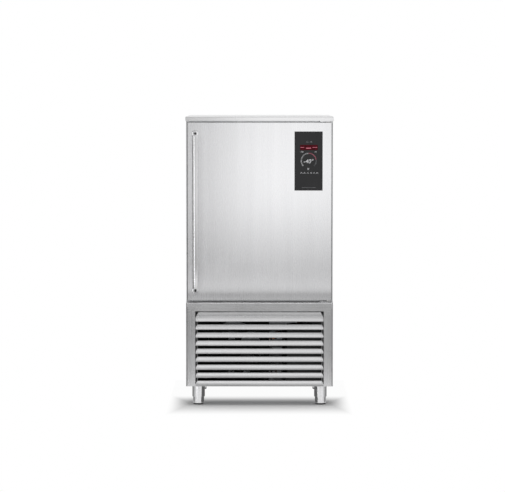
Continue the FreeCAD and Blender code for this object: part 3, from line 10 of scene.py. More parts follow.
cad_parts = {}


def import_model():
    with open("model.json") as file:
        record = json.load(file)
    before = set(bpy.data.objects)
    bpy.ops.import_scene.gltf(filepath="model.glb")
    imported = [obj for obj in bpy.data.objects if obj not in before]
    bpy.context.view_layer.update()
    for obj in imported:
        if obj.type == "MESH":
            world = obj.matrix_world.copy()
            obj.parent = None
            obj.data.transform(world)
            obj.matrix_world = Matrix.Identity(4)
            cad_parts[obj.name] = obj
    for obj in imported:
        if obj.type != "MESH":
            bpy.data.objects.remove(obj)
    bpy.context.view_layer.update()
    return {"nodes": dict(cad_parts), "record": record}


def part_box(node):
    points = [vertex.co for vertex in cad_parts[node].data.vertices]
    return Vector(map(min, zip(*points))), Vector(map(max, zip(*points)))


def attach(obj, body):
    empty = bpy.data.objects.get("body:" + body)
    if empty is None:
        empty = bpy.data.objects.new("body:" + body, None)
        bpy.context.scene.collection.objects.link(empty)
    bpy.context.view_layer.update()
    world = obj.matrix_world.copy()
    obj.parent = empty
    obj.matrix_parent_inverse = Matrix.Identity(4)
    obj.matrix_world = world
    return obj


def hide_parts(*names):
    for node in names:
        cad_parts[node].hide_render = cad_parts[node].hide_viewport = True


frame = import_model()
NODES = frame["nodes"]
MM = 0.001

# ---------------------------------------------------------------- materials


def add_node(tree, kind, **settings):
    made = tree.nodes.new(kind)
    for name, setting in settings.items():
        setattr(made, name, setting)
    return made


class Shader:
    """A material under construction."""

    def __init__(self, name):
        self.material = bpy.data.materials.new(name)
        self.material.use_nodes = True
        self.tree = self.material.node_tree
        self.bsdf = self.tree.nodes["Principled BSDF"]
        self.output = self.tree.nodes["Material Output"]

    def node(self, kind, **settings):
        return add_node(self.tree, kind, **settings)

    def link(self, source, target):
        self.tree.links.new(source, target)

    def set(self, **sockets):
        for name, setting in sockets.items():
            self.bsdf.inputs[name.replace("_", " ")].default_value = setting

    def place(self):
        """The object coordinates, which are metres in the frame of the whole part."""
        return self.node("ShaderNodeTexCoord").outputs["Object"]

    def noise(self, scale, detail=3.0, rough=0.55):
        """A noise between 0 and 1 whose scale is given per metre on each axis."""
        mapping = self.node("ShaderNodeMapping")
        mapping.inputs["Scale"].default_value = scale
        self.link(self.place(), mapping.inputs["Vector"])
        texture = self.node("ShaderNodeTexNoise")
        texture.inputs["Scale"].default_value = 1.0
        texture.inputs["Detail"].default_value = detail
        texture.inputs["Roughness"].default_value = rough
        self.link(mapping.outputs["Vector"], texture.inputs["Vector"])
        return texture.outputs["Fac"]

    def remap(self, source, low, high, start=0.3, end=0.7, smooth=False):
        """Stretches a value from the range start to end to the range low to high."""
        ranged = self.node("ShaderNodeMapRange", interpolation_type="SMOOTHSTEP" if smooth else "LINEAR")
        for name, setting in (("From Min", start), ("From Max", end), ("To Min", low), ("To Max", high)):
            ranged.inputs[name].default_value = setting
        self.link(source, ranged.inputs["Value"])
        return ranged.outputs["Result"]

    def math(self, operation, *values):
        made = self.node("ShaderNodeMath", operation=operation)
        for socket, given in zip(made.inputs, values):
            if isinstance(given, (int, float)):
                socket.default_value = given
            else:
                self.link(given, socket)
        return made.outputs["Value"]

    def mix(self, factor, first, second):
        made = self.node("ShaderNodeMix", data_type="RGBA")
        self.link(factor, made.inputs["Factor"])
        for name, given in (("A", first), ("B", second)):
            socket = next(s for s in made.inputs if s.name == name and s.type == "RGBA")
            if isinstance(given, tuple):
                socket.default_value = (*given, 1.0)
            else:
                self.link(given, socket)
        return next(s for s in made.outputs if s.type == "RGBA")

    def bump(self, height, distance):
        made = self.node("ShaderNodeBump")
        made.inputs["Distance"].default_value = distance
        self.link(height, made.inputs["Height"])
        self.link(made.outputs["Normal"], self.bsdf.inputs["Normal"])


def grain_scale(axis, across, along):
    return tuple(along if name == axis else across for name in "xyz")


def brushed_steel(name, dark, light, axis, roughness, spread=0.05, grain=0.00002):
    """Sheet steel with a fine linear grain along one axis, faint bands and handling marks."""
    s = Shader(name)
    fine = s.noise(grain_scale(axis, 1300.0, 5.0), detail=4.0, rough=0.65)
    bands = s.noise(grain_scale(axis, 38.0, 0.9), detail=2.0)
    marks = s.noise((5.0, 5.0, 5.0), detail=4.0, rough=0.6)
    tone = s.math("MULTIPLY_ADD", s.remap(bands, 0.0, 1.0), 0.5, s.math("MULTIPLY", fine, 0.5))
    s.link(s.mix(tone, dark, light), s.bsdf.inputs["Base Color"])
    uneven = s.math("ADD", s.remap(fine, -spread, spread), s.remap(marks, -0.6 * spread, 0.6 * spread))
    s.link(s.math("ADD", uneven, roughness), s.bsdf.inputs["Roughness"])
    s.bump(fine, grain)
    s.set(Metallic=1.0)
    return s.material


def polished_steel(name, dark, light, roughness):
    s = Shader(name)
    marks = s.noise((60.0, 60.0, 14.0), detail=4.0, rough=0.6)
    s.link(s.mix(s.remap(marks, 0.0, 1.0), dark, light), s.bsdf.inputs["Base Color"])
    s.link(s.remap(marks, roughness - 0.03, roughness + 0.05), s.bsdf.inputs["Roughness"])
    s.set(Metallic=1.0)
    return s.material


def spangled_zinc(name, dark, light, roughness):
    """Galvanised sheet: crystals a few millimetres wide, each of its own tone."""
    s = Shader(name)
    cells = s.node("ShaderNodeTexVoronoi")
    cells.inputs["Scale"].default_value = 120.0
    s.link(s.place(), cells.inputs["Vector"])
    crystal = s.node("ShaderNodeSeparateColor")
    s.link(cells.outputs["Color"], crystal.inputs["Color"])
    cloud = s.noise((9.0, 9.0, 9.0), detail=4.0)
    tone = s.math("MULTIPLY_ADD", crystal.outputs["Red"], 0.45, s.remap(cloud, 0.0, 0.55))
    s.link(s.mix(tone, dark, light), s.bsdf.inputs["Base Color"])
    s.link(s.remap(crystal.outputs["Green"], roughness - 0.05, roughness + 0.07, 0.0, 1.0),
           s.bsdf.inputs["Roughness"])
    s.bump(crystal.outputs["Red"], 0.00001)
    s.set(Metallic=1.0)
    return s.material


def moulded(name, dark, light, roughness, grain=900.0, depth=0.00004):
    """Plastic, rubber or paint with a fine skin and faint colour variation."""
    s = Shader(name)
    skin = s.noise((grain, grain, grain), detail=3.0)
    cloud = s.noise((14.0, 14.0, 14.0), detail=4.0)
    s.link(s.mix(s.remap(cloud, 0.0, 1.0), dark, light), s.bsdf.inputs["Base Color"])
    s.link(s.remap(skin, roughness - 0.06, roughness + 0.06), s.bsdf.inputs["Roughness"])
    s.bump(skin, depth)
    return s.material


def touch_glass(name):
    """Black glass, faintly smeared."""
    s = Shader(name)
    smear = s.noise((9.0, 9.0, 4.0), detail=4.0, rough=0.6)
    s.link(s.mix(s.remap(smear, 0.0, 1.0), (0.006, 0.006, 0.007), (0.011, 0.011, 0.012)),
           s.bsdf.inputs["Base Color"])
    s.link(s.remap(smear, 0.05, 0.14), s.bsdf.inputs["Roughness"])
    s.set(IOR=1.37)
    return s.material


def lit_print(name, dark, light, glow):
    """Markings that the display behind the glass lights up, uneven as small lamps are."""
    s = Shader(name)
    uneven = s.noise((60.0, 60.0, 60.0), detail=2.0)
    colour = s.mix(s.remap(uneven, 0.0, 1.0), dark, light)
    s.link(colour, s.bsdf.inputs["Base Color"])
    s.link(colour, s.bsdf.inputs["Emission Color"])
    s.set(Emission_Strength=glow, Roughness=0.4, Specular_IOR_Level=0.06)
    return s.material


STEEL_DARK, STEEL_LIGHT = (0.70, 0.70, 0.71), (0.80, 0.80, 0.805)
DOOR_DARK, DOOR_LIGHT = (0.75, 0.75, 0.762), (0.80, 0.80, 0.812)
LOOKS = {
    "casing_steel": (brushed_steel, STEEL_DARK, STEEL_LIGHT, "z", 0.28),
    "rail_steel": (brushed_steel, STEEL_DARK, STEEL_LIGHT, "x", 0.28),
    "door_steel": (brushed_steel, DOOR_DARK, DOOR_LIGHT, "z", 0.27, 0.04),
    "inner_steel": (brushed_steel, (0.66, 0.67, 0.68), (0.76, 0.77, 0.78), "z", 0.34),
    "rack_steel": (polished_steel, (0.62, 0.62, 0.63), (0.74, 0.74, 0.75), 0.26),
    "galvanised_steel": (spangled_zinc, (0.42, 0.43, 0.44), (0.62, 0.63, 0.64), 0.42),
    "handle_steel": (brushed_steel, (0.76, 0.76, 0.77), (0.83, 0.83, 0.84), "z", 0.20, 0.03),
    "leg_steel": (brushed_steel, (0.74, 0.74, 0.75), (0.83, 0.83, 0.84), "z", 0.17, 0.03),
    "foam": (moulded, (0.72, 0.60, 0.34), (0.86, 0.76, 0.50), 0.85, 400.0, 0.0004),
    "seal_rubber": (moulded, (0.018, 0.018, 0.019), (0.035, 0.035, 0.036), 0.55),
    "black_glass": (touch_glass,),
    "black_plastic": (moulded, (0.015, 0.015, 0.016), (0.03, 0.03, 0.031), 0.45),
    "white_plastic": (moulded, (0.62, 0.61, 0.58), (0.74, 0.73, 0.70), 0.42),
    "board_green": (moulded, (0.01, 0.10, 0.04), (0.02, 0.18, 0.08), 0.4),
    "screw_steel": (polished_steel, (0.60, 0.60, 0.61), (0.78, 0.78, 0.79), 0.22),
    "black_screw": (moulded, (0.005, 0.005, 0.005), (0.010, 0.010, 0.010), 0.52),
    "fan_plastic": (moulded, (0.02, 0.02, 0.022), (0.04, 0.04, 0.042), 0.38),
    "black_paint": (moulded, (0.010, 0.010, 0.011), (0.022, 0.022, 0.023), 0.36, 300.0, 0.00006),
    "fins": (polished_steel, (0.52, 0.53, 0.55), (0.70, 0.71, 0.73), 0.34),
    "black_fins": (moulded, (0.006, 0.006, 0.006), (0.014, 0.014, 0.014), 0.6, 200.0, 0.00006),
    "copper": (polished_steel, (0.26, 0.11, 0.06), (0.46, 0.23, 0.14), 0.36),
    "display_white": (lit_print, (0.34, 0.34, 0.35), (0.62, 0.62, 0.64), 0.35),
    "display_grey": (lit_print, (0.12, 0.12, 0.13), (0.22, 0.22, 0.23), 0.15),
    "display_pink": (lit_print, (0.30, 0.07, 0.10), (0.46, 0.16, 0.20), 0.35),
    "display_red": (lit_print, (0.030, 0.001, 0.003), (0.060, 0.002, 0.006), 0.35),
}
MATERIALS = {name: make(name, *settings) for name, (make, *settings) in LOOKS.items()}

# ---------------------------------------------------------------- the CAD nodes that stay

NODE_LOOKS = {row["node"]: row["material_slot"] for row in frame["record"]["subparts"]}
NODE_LOOKS.update(lower_rail="rail_steel", top_cover="rail_steel", louvre_panel="rail_steel",
                  header_channel="rail_steel")
SHEET_EDGE, SOLID_EDGE = 0.35, 0.8
SOLID_LOOKS = ("black_paint", "black_plastic", "white_plastic", "seal_rubber", "leg_steel", "rack_steel",
               "screw_steel", "black_glass")
WELD_DISTANCE = 0.00001
SHARP_ANGLE = 35.0


def soften(thing, width, segments=2):
    """Rounds the sharp edges of a piece and shades its flats flat."""
    weld = thing.modifiers.new("weld", "WELD")
    weld.merge_threshold = WELD_DISTANCE
    edge = thing.modifiers.new("edge", "BEVEL")
    edge.width = width * MM
    edge.segments = segments
    edge.limit_method = "ANGLE"
    edge.angle_limit = math.radians(SHARP_ANGLE)
    edge.use_clamp_overlap = True
    flat = thing.modifiers.new("flat", "WEIGHTED_NORMAL")
    flat.keep_sharp = False


for node, look in NODE_LOOKS.items():
    mesh = NODES[node].data
    mesh.materials.clear()
    mesh.materials.append(MATERIALS[look])
    soften(NODES[node], SOLID_EDGE if look in SOLID_LOOKS else SHEET_EDGE)

# ---------------------------------------------------------------- mesh helpers, in millimetres

FRONTWARD, BACKWARD, UPWARD = (0, -1, 0), (0, 1, 0), (0, 0, 1)


class Solid:
    """Closed shells that make up the mesh of one piece."""

    def __init__(self):
        self.bm = bmesh.new()

    def loft(self, rings, closed=False):
        """A skin through rings of equally many points, capped at both ends unless it closes on itself."""
        made = [[self.bm.verts.new(Vector(p) * MM) for p in ring] for ring in rings]
        pairs = list(zip(made, made[1:] + made[:1])) if closed else list(zip(made, made[1:]))
        for low, high in pairs:
            for n in range(len(low)):
                m = (n + 1) % len(low)
                self.bm.faces.new((low[n], low[m], high[m], high[n]))
        if not closed:
            self.bm.faces.new(made[0])
            self.bm.faces.new(made[-1])
        return self

    def lathe(self, centre, axis, profile, segments=48, shape=None):
        """A turned form: profile gives radius and height pairs along the axis, from end to end.

        shape(row, angle) may scale the radius of a row of the profile at an angle.
        """
        turn = Vector(axis).to_track_quat("Z", "Y")
        rings = []
        for row, (radius, height) in enumerate(profile):
            ring = []
            for n in range(segments):
                angle = 2 * math.pi * n / segments
                reach = radius * (shape(row, angle) if shape else 1.0)
                spot = Vector((reach * math.cos(angle), reach * math.sin(angle), height))
                ring.append(Vector(centre) + turn @ spot)
            rings.append(ring)
        return self.loft(rings)

    def tube(self, points, radius, segments=12, closed=False):
        """A round wire or pipe through points."""
        points = [Vector(p) for p in points]
        count = len(points)
        rings = []
        side = None
        for n, point in enumerate(points):
            before = points[n - 1] if n or closed else point
            after = points[(n + 1) % count] if n + 1 < count or closed else point
            along = (after - before).normalized()
            if side is None:
                side = along.orthogonal().normalized()
            side = (side - along * side.dot(along)).normalized()
            other = along.cross(side)
            rings.append([
                point + radius * (math.cos(a) * side + math.sin(a) * other)
                for a in (2 * math.pi * k / segments for k in range(segments))
            ])
        return self.loft(rings, closed)

    def block(self, low, high):
        (x0, y0, z0), (x1, y1, z1) = low, high
        return self.loft([[(x0, y0, z), (x1, y0, z), (x1, y1, z), (x0, y1, z)] for z in (z0, z1)])

    def piece(self, name, body, slot, look=None, stands_for=(), crease=SHARP_ANGLE):
        """Turns the shells into an object that rides on a body and may stand for CAD nodes."""
        bmesh.ops.recalc_face_normals(self.bm, faces=self.bm.faces)
        mesh = bpy.data.meshes.new(name)
        self.bm.to_mesh(mesh)
        self.bm.free()
        mesh.polygons.foreach_set("use_smooth", [True] * len(mesh.polygons))
        mesh.set_sharp_from_angle(angle=math.radians(crease))
        return dress(bpy.data.objects.new(name, mesh), body, slot, look, stands_for)


def dress(thing, body, slot, look=None, stands_for=()):
    bpy.context.scene.collection.objects.link(thing)
    thing.data.materials.clear()
    thing.data.materials.append(MATERIALS[look or slot])
    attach(thing, body)
    if stands_for:
        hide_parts(*stands_for)
    return thing


def quarter(x, y, radius, start, steps):
    """Points along a quarter turn about a centre, from a start angle in degrees."""
    angles = (math.radians(start + 90.0 * n / steps) for n in range(steps + 1))
    return [(x + radius * math.cos(a), y + radius * math.sin(a)) for a in angles]


def box_mm(node):
    low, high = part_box(node)
    return [c / MM for c in low], [c / MM for c in high]


# ---------------------------------------------------------------- door handle

DOOR_FRONT = box_mm("door_outer_skin")[0][1]
HANDLE_X = -344.25
HANDLE_REACH = 45.0
HANDLE_SCREWS = (623.5, 1465.5)
SCREW_SEAT = 4.2
LUG_RADIUS, LUG_HEIGHT = 18.0, 12.0
LUG_PROFILE = [
    (7.4, 0.0), (LUG_RADIUS, 0.0), (LUG_RADIUS, LUG_HEIGHT - 2.5), (LUG_RADIUS - 0.8, LUG_HEIGHT - 0.8),
    (LUG_RADIUS - 2.5, LUG_HEIGHT), (8.2, LUG_HEIGHT), (7.4, LUG_HEIGHT - 0.8), (7.4, 0.2)]
BAR_HALF_WIDTH, BAR_DEPTH = 14.0, 18.0
BAR_FRONT = DOOR_FRONT - HANDLE_REACH
BAR_BACK = BAR_FRONT + BAR_DEPTH
BAR_FROM_SCREW = 12.0
BAR_LOW, BAR_HIGH = HANDLE_SCREWS[0] + BAR_FROM_SCREW, HANDLE_SCREWS[1] - BAR_FROM_SCREW
BAR_END_ROUND = 1.6
# Each corner of the bar: its side, its end in depth, its rounding and the angle where that starts.
BAR_CORNERS = ((1, -1, 2.0, -90.0), (1, 1, 2.0, 0.0), (-1, 1, 3.0, 90.0), (-1, -1, 12.0, 180.0))
POST_HALF_WIDTH, POST_HEIGHT, POST_CORNER = 11.5, 24.0, 4.0
POST_SLACK, POST_FLARE = 1.8, 1.5
POST_START = BAR_BACK - 0.5


def bar_section(z, inset):
    """A level section of the bar: its outer front corner is well rounded and its inner one is tight."""
    half = BAR_HALF_WIDTH - inset
    faces = {-1: BAR_FRONT + inset, 1: BAR_BACK - inset}
    ring = []
    for side, end, rounding, start in BAR_CORNERS:
        middle = (HANDLE_X + side * (half - rounding), faces[end] - end * rounding)
        ring += [(x, y, z) for x, y in quarter(*middle, rounding, start, 8)]
    return ring


def post_section(y, flare, low, high):
    """An upright section of a post that reaches from low to high."""
    half = POST_HALF_WIDTH + flare - POST_CORNER
    margin = POST_SLACK - flare + POST_CORNER
    ring = []
    for side, middle, start in ((1, high - margin, 0.0), (-1, high - margin, 90.0),
                                (-1, low + margin, 180.0), (1, low + margin, 270.0)):
        ring += [(x, y, z) for x, z in quarter(HANDLE_X + side * half, middle, POST_CORNER, start, 5)]
    return ring


def door_handle():
    """A straight bar with softened ends on two posts, each with a round lug beside it on the door."""
    solid = Solid()
    turns = [math.pi * n / 12 for n in range(7)]
    ends = [(BAR_END_ROUND * (1.0 - math.sin(a)), BAR_END_ROUND * (1.0 - math.cos(a))) for a in turns]
    rings = [bar_section(BAR_LOW + along, inset) for inset, along in ends]
    rings += [bar_section(BAR_HIGH - along, inset) for inset, along in reversed(ends)]
    solid.loft(rings)
    for low, high in ((BAR_LOW, BAR_LOW + POST_HEIGHT), (BAR_HIGH - POST_HEIGHT, BAR_HIGH)):
        rings = []
        for t in (n / 8 for n in range(9)):
            y = POST_START + (DOOR_FRONT - POST_START) * t
            rings.append(post_section(y, POST_FLARE * (2.0 * t - 1.0) ** 4, low, high))
        solid.loft(rings)
    for z in HANDLE_SCREWS:
        solid.lathe((HANDLE_X, DOOR_FRONT, z), FRONTWARD, LUG_PROFILE, 64)
    solid.piece("handle_bar_formed", "door", "handle_steel", stands_for=("door_handle",), crease=40.0)


def socket_screw(solid, centre, axis, radius, height, shank, recess, lobes=6, depth=0.55):
    """A domed head on a shank that runs into the sheet, with a hexagonal recess or one of four lobes."""
    head = [(shank, -3.0), (shank, 0.0), (radius, 0.0), (radius, 0.35 * height),
            (0.93 * radius, 0.68 * height), (0.75 * radius, 0.92 * height), (1.18 * recess, height)]
    pocket = [(recess, 0.97 * height), (0.94 * recess, (1.0 - depth) * height),
              (0.2 * recess, (0.9 - depth) * height)]

    def shape(row, angle):
        if row < len(head):
            return 1.0
        if lobes == 6:
            part = (angle + math.pi / 6) % (math.pi / 3) - math.pi / 6
            return math.cos(math.pi / 6) / math.cos(part)
        return 0.42 + 0.58 * abs(math.cos(lobes * angle / 2)) ** 3

    solid.lathe(centre, axis, head + pocket, 48, shape)


def handle_screws():
    solid = Solid()
    for z in HANDLE_SCREWS:
        centre = (HANDLE_X, DOOR_FRONT - LUG_HEIGHT + SCREW_SEAT, z)
        socket_screw(solid, centre, FRONTWARD, radius=5.8, height=4.6, shank=3.0, recess=2.7)
    solid.piece("handle_socket_screws", "door", "black_screw", stands_for=("handle_screws",))


door_handle()
handle_screws()

# ---------------------------------------------------------------- display on the control glass

GLASS_FACE = box_mm("control_glass")[0][1]
PRINT_RISE, PRINT_SINK = 0.25, 0.02
PINK_LIFT = 0.0002
DIAL, DIAL_RADIUS = Vector((263.0, 1320.0)), 40.0
# Ticks around the dial: print, length, width, first and last angle, and number.
DIAL_TICKS = (("white", 4.6, 1.3, 222.0, 96.0, 22), ("pink", 4.6, 1.5, 88.0, 12.0, 14),
              ("grey", 4.0, 1.3, 4.0, -42.0, 9))
STAR, STAR_REACH = Vector((261.0, 1277.0)), 6.0
# Filled bars: print, then left, right, bottom and top.
BARS = (("red", 216.5, 311.0, 1377.0, 1405.0), ("pink", 249.0, 275.0, 1385.0, 1390.0),
        ("pink", 219.0, 238.0, 1390.0, 1393.0), ("pink", 283.0, 307.0, 1390.0, 1393.0),
        ("grey", 226.0, 300.0, 1176.0, 1177.2))
PEAKS, PEAK_START, PEAK_PITCH, PEAK_HALF = 6, 219.0, 17.0, 5.0
PEAK_FOOT, PEAK_BAR, PEAK_TOP = 1251.5, 1254.0, 1258.5


def flat_shape(solid, outline):
    """A thin raised print on the glass from its outline in x and z."""
    depths = (GLASS_FACE - PRINT_SINK, GLASS_FACE - PRINT_RISE)
    solid.loft([[(x, y, z) for x, z in outline] for y in depths])


def bar(solid, x0, x1, z0, z1):
    flat_shape(solid, [(x0, z0), (x1, z0), (x1, z1), (x0, z1)])


def stroke(solid, start, end, width):
    along = Vector((end[0] - start[0], end[1] - start[1])).normalized() * width / 2
    side = Vector((-along.y, along.x))
    first, last = Vector(start), Vector(end)
    flat_shape(solid, (first - along - side, last + along - side,
                       last + along + side, first - along + side))


def arc_ticks(solid, centre, radius, length, width, start, end, count):
    for n in range(count):
        angle = math.radians(start + (end - start) * n / (count - 1))
        out = Vector((math.cos(angle), math.sin(angle)))
        stroke(solid, centre + out * (radius - length / 2), centre + out * (radius + length / 2), width)


def text_piece(name, words, x, z, size, look, slant=0.0):
    """Figures from Blender's own letters, as a thin raised print."""
    curve = bpy.data.curves.new(name, "FONT")
    curve.body = words
    curve.size = size * MM
    curve.shear = slant
    curve.extrude = PRINT_RISE * MM / 2
    curve.align_x = "CENTER"
    curve.align_y = "CENTER"
    draft = bpy.data.objects.new(f"{name}_draft", curve)
    bpy.context.scene.collection.objects.link(draft)
    draft.rotation_euler = (math.pi / 2, 0.0, 0.0)
    draft.location = (x * MM, (GLASS_FACE - PRINT_RISE / 2) * MM, z * MM)
    bpy.context.view_layer.update()
    mesh = bpy.data.meshes.new_from_object(draft.evaluated_get(bpy.context.evaluated_depsgraph_get()))
    mesh.transform(draft.matrix_world)
    mesh.name = name
    bpy.data.objects.remove(draft)
    dress(bpy.data.objects.new(name, mesh), "door", "white_plastic", look)


def display():
    """A dial with a star below it, a band with bars, a row of peaks and a line, and then the figures."""
    prints = {tint: Solid() for tint in ("white", "grey", "pink", "red")}
    white = prints["white"]
    for tint, *ticks in DIAL_TICKS:
        arc_ticks(prints[tint], DIAL, DIAL_RADIUS, *ticks)
    for turn in (0.0, 60.0, 120.0):
        step = Vector((math.cos(math.radians(turn)), math.sin(math.radians(turn)))) * STAR_REACH
        stroke(white, STAR - step, STAR + step, 1.2)
    for tint, *edges in BARS:
        bar(prints[tint], *edges)
    for n in range(PEAKS):
        x = PEAK_START + PEAK_PITCH * n
        top = (x + PEAK_HALF, PEAK_TOP)
        stroke(white, (x, PEAK_FOOT), top, 1.1)
        stroke(white, top, (x + 2.0 * PEAK_HALF, PEAK_FOOT), 1.1)
        if n % 2:
            stroke(white, (x + 2.0, PEAK_BAR), (x + 8.0, PEAK_BAR), 1.0)
    for tint, name, slot in (("white", "display_marks_white", "white_plastic"),
                             ("grey", "display_marks_grey", "white_plastic"),
                             ("red", "display_band_red", "black_glass"),
                             ("pink", "display_marks_pink", "white_plastic")):
        made = prints[tint].piece(name, "door", slot, f"display_{tint}")
        if tint == "pink":
            made.data.transform(Matrix.Translation((0.0, -PINK_LIFT, 0.0)))
    text_piece("display_reading", "-40°", 260.0, 1316.0, 30.0, "display_white", 0.25)
    text_piece("display_clock", "12 : 30", 265.0, 1420.0, 12.0, "display_grey")
    text_piece("display_low_limit", "+90", 226.5, 1367.0, 10.0, "display_white")
    text_piece("display_high_limit", "-18", 298.0, 1367.0, 10.0, "display_white")


display()

# ---------------------------------------------------------------- louvre

LOUVRE_HALF, LOUVRE_TOP, LOUVRE_LEAN = 343.5, 506.0, 11.0
BAY_FLOOR = 105.0
SLAT_COUNT, SLAT_PITCH, SLAT_HEIGHT, BOTTOM_SLAT_HEIGHT = 9, 43.4, 26.1, 29.2
SLAT_TAPER, TOP_SLAT_TAPER = 8.0, 15.0
SHEET, LIP_DEPTH = 1.2, 8.0
CREASE = 485.0
# The top slat from its crease up: depth behind the lean and height over the crease.
TOP_BAND = ((1.2, -0.6), (2.2, 1.2), (0.6, 2.6), (0.8, 8.0), (2.0, LOUVRE_TOP - 2.0 - CREASE),
            (4.0, LOUVRE_TOP - CREASE))
CHEEK_X, CHEEK_Y, CHEEK_TOP = (335.0, 336.5), (1.2, 24.0), 476.0
PIVOT_Y, PIVOT_Z = 8.0, 115.0
PIVOT_PROFILE = [(4.0, 0.0), (4.0, 12.6), (3.4, 13.2)]


def formed_slat(solid, face, half_width):
    """A pressed sheet: face runs from its bottom edge to its top edge as depth and height pairs.

    A lip closes the bottom, a fold closes the top, and half_width gives the end of the slat at a height.
    """
    foot = face[0][1]
    top_y, top_z = face[-1]
    outline = [(LIP_DEPTH, foot), (1.2, foot), (0.35, foot + 0.35), *face[1:-1]]
    outline += [(top_y - 0.3, top_z - 1.0), (top_y + 0.4, top_z), (top_y + LIP_DEPTH, top_z)]
    outline += [(top_y + LIP_DEPTH, top_z - SHEET), (top_y + 1.5, top_z - SHEET)]
    outline += [(y + SHEET, z) for y, z in reversed(face[1:-1])]
    outline += [(1.8, foot + SHEET), (LIP_DEPTH, foot + SHEET)]
    solid.loft([
        [(side * half_width(z), DOOR_FRONT + y, z) for y, z in outline] for side in (-1, 1)
    ])


def curved_face(base, height):
    """A face that leans back more and more towards its top."""
    steps = (n / 10 for n in range(11))
    return [(LOUVRE_LEAN * (0.45 * t + 0.55 * t ** 2.5), base + height * t) for t in steps]


def louvre():
    """Slats with tapered ends, the top one with an upright band, between two cheeks with pivot pins."""
    solid = Solid()

    def slat(base, height):
        start, rest = base + SLAT_TAPER, height - SLAT_TAPER
        formed_slat(solid, curved_face(base, height),
                    lambda z: LOUVRE_HALF - SLAT_TAPER * max(0.0, (z - start) / rest) ** 1.4)

    slat(BAY_FLOOR, BOTTOM_SLAT_HEIGHT)
    first = BAY_FLOOR + BOTTOM_SLAT_HEIGHT - SLAT_HEIGHT
    for n in range(1, SLAT_COUNT - 1):
        slat(first + n * SLAT_PITCH, SLAT_HEIGHT)
    base = first + (SLAT_COUNT - 1) * SLAT_PITCH
    lower = curved_face(base, CREASE - base)[:-1]
    span = LOUVRE_TOP - CHEEK_TOP
    formed_slat(solid, lower + [(LOUVRE_LEAN + y, CREASE + z) for y, z in TOP_BAND],
                lambda z: LOUVRE_HALF - TOP_SLAT_TAPER * max(0.0, (z - CHEEK_TOP) / span) ** 1.1)
    for side in (-1, 1):
        left, right = sorted(side * x for x in CHEEK_X)
        solid.block((left, DOOR_FRONT + CHEEK_Y[0], BAY_FLOOR), (right, DOOR_FRONT + CHEEK_Y[1], CHEEK_TOP))
        solid.lathe((side * CHEEK_X[1], DOOR_FRONT + PIVOT_Y, PIVOT_Z), (side, 0, 0), PIVOT_PROFILE, 24)
    solid.piece("louvre_formed", "louvre", "casing_steel", "rail_steel", ("louvre_panel",), crease=28.0)


louvre()

# ---------------------------------------------------------------- rear vent

VENT_COUNT, VENT_FIRST, VENT_PITCH, VENT_HEIGHT = 9, 215.0, 30.0, 9.0
FLAP_HALF_WIDTH = 209.0
# Depth in from the panel's outer face and height above the slot's top.
FLAP_SECTION = ((1.3, 2.5), (1.3, 0.5), (3.2, -0.5), (15.0, -13.0), (16.0, -12.2), (4.0, 1.2))


def vent_flaps():
    """Inward flaps over the rear vent slots, which keep water out."""
    solid = Solid()
    back = box_mm("rear_vent_panel")[1][1]
    for n in range(VENT_COUNT):
        top = VENT_FIRST + VENT_PITCH * n + VENT_HEIGHT
        solid.loft([[(x, back - depth, top + rise) for depth, rise in FLAP_SECTION]
                    for x in (-FLAP_HALF_WIDTH, FLAP_HALF_WIDTH)])
    solid.piece("rear_vent_flaps", "cabinet", "galvanised_steel")


vent_flaps()

# ---------------------------------------------------------------- fans and guards

BLADES, BLADE_STEPS = 5, 9
BLADE_ROOT, BLADE_THICK, BLADE_CAMBER, BLADE_SWEEP = 41.0, 1.3, 4.0, 10.0
ROOT_PITCH, PITCH_FALL = 42.0, 20.0
ROOT_CHORD, CHORD_RISE = 52.0, 22.0
SHAFT_RADIUS = 5.0
BOLT_CIRCLE = 30.0
GUARD_HALF = 148.0
GUARD_RINGS = (64.0, 82.0, 100.0, 118.0, 136.0, 146.2)
RING_WIRE, SPOKE_WIRE = 1.5, 1.2
OUTER_RING_SHIFT = 0.2
SPOKES, SPOKE_POINTS = 8, (44.0, 90.0, 147.0)
EYELET_CIRCLE = 143.0
MOTOR_RING = [(40.6, 0.0), (48.0, 0.0), (48.0, 1.5), (46.5, 2.2), (42.0, 2.4), (40.6, 1.6)]


def fan_blade(solid, centre, start_angle, tip, depth):
    """One twisted, cambered blade; depth is the room along the shaft that it has on each side."""
    rings = []
    for n in range(BLADE_STEPS + 1):
        u = n / BLADE_STEPS
        radius = BLADE_ROOT + (tip - BLADE_ROOT) * u
        pitch = math.radians(ROOT_PITCH - PITCH_FALL * u)
        chord = min(ROOT_CHORD + CHORD_RISE * u, 2.0 * depth / math.sin(pitch))
        chord *= 1.0 - 0.5 * max(0.0, u - 0.8) ** 1.5
        sweep = math.radians(-BLADE_SWEEP * u * u)
        ring = []
        for side in (1, -1):
            for k in range(9):
                t = (k / 8 - 0.5) * side
                thick = BLADE_THICK * math.sqrt(max(1.0 - (2.0 * t) ** 2, 0.06))
                camber = BLADE_CAMBER * (1.0 - 4.0 * t * t)
                along = t * chord * math.cos(pitch) - (camber + side * thick) * math.sin(pitch)
                across = t * chord * math.sin(pitch) + (camber + side * thick) * math.cos(pitch) - 2.0
                angle = start_angle + sweep + along / radius
                ring.append((centre[0] + radius * math.cos(angle), centre[1] + across,
                             centre[2] + radius * math.sin(angle)))
        rings.append(ring)
    solid.loft(rings)


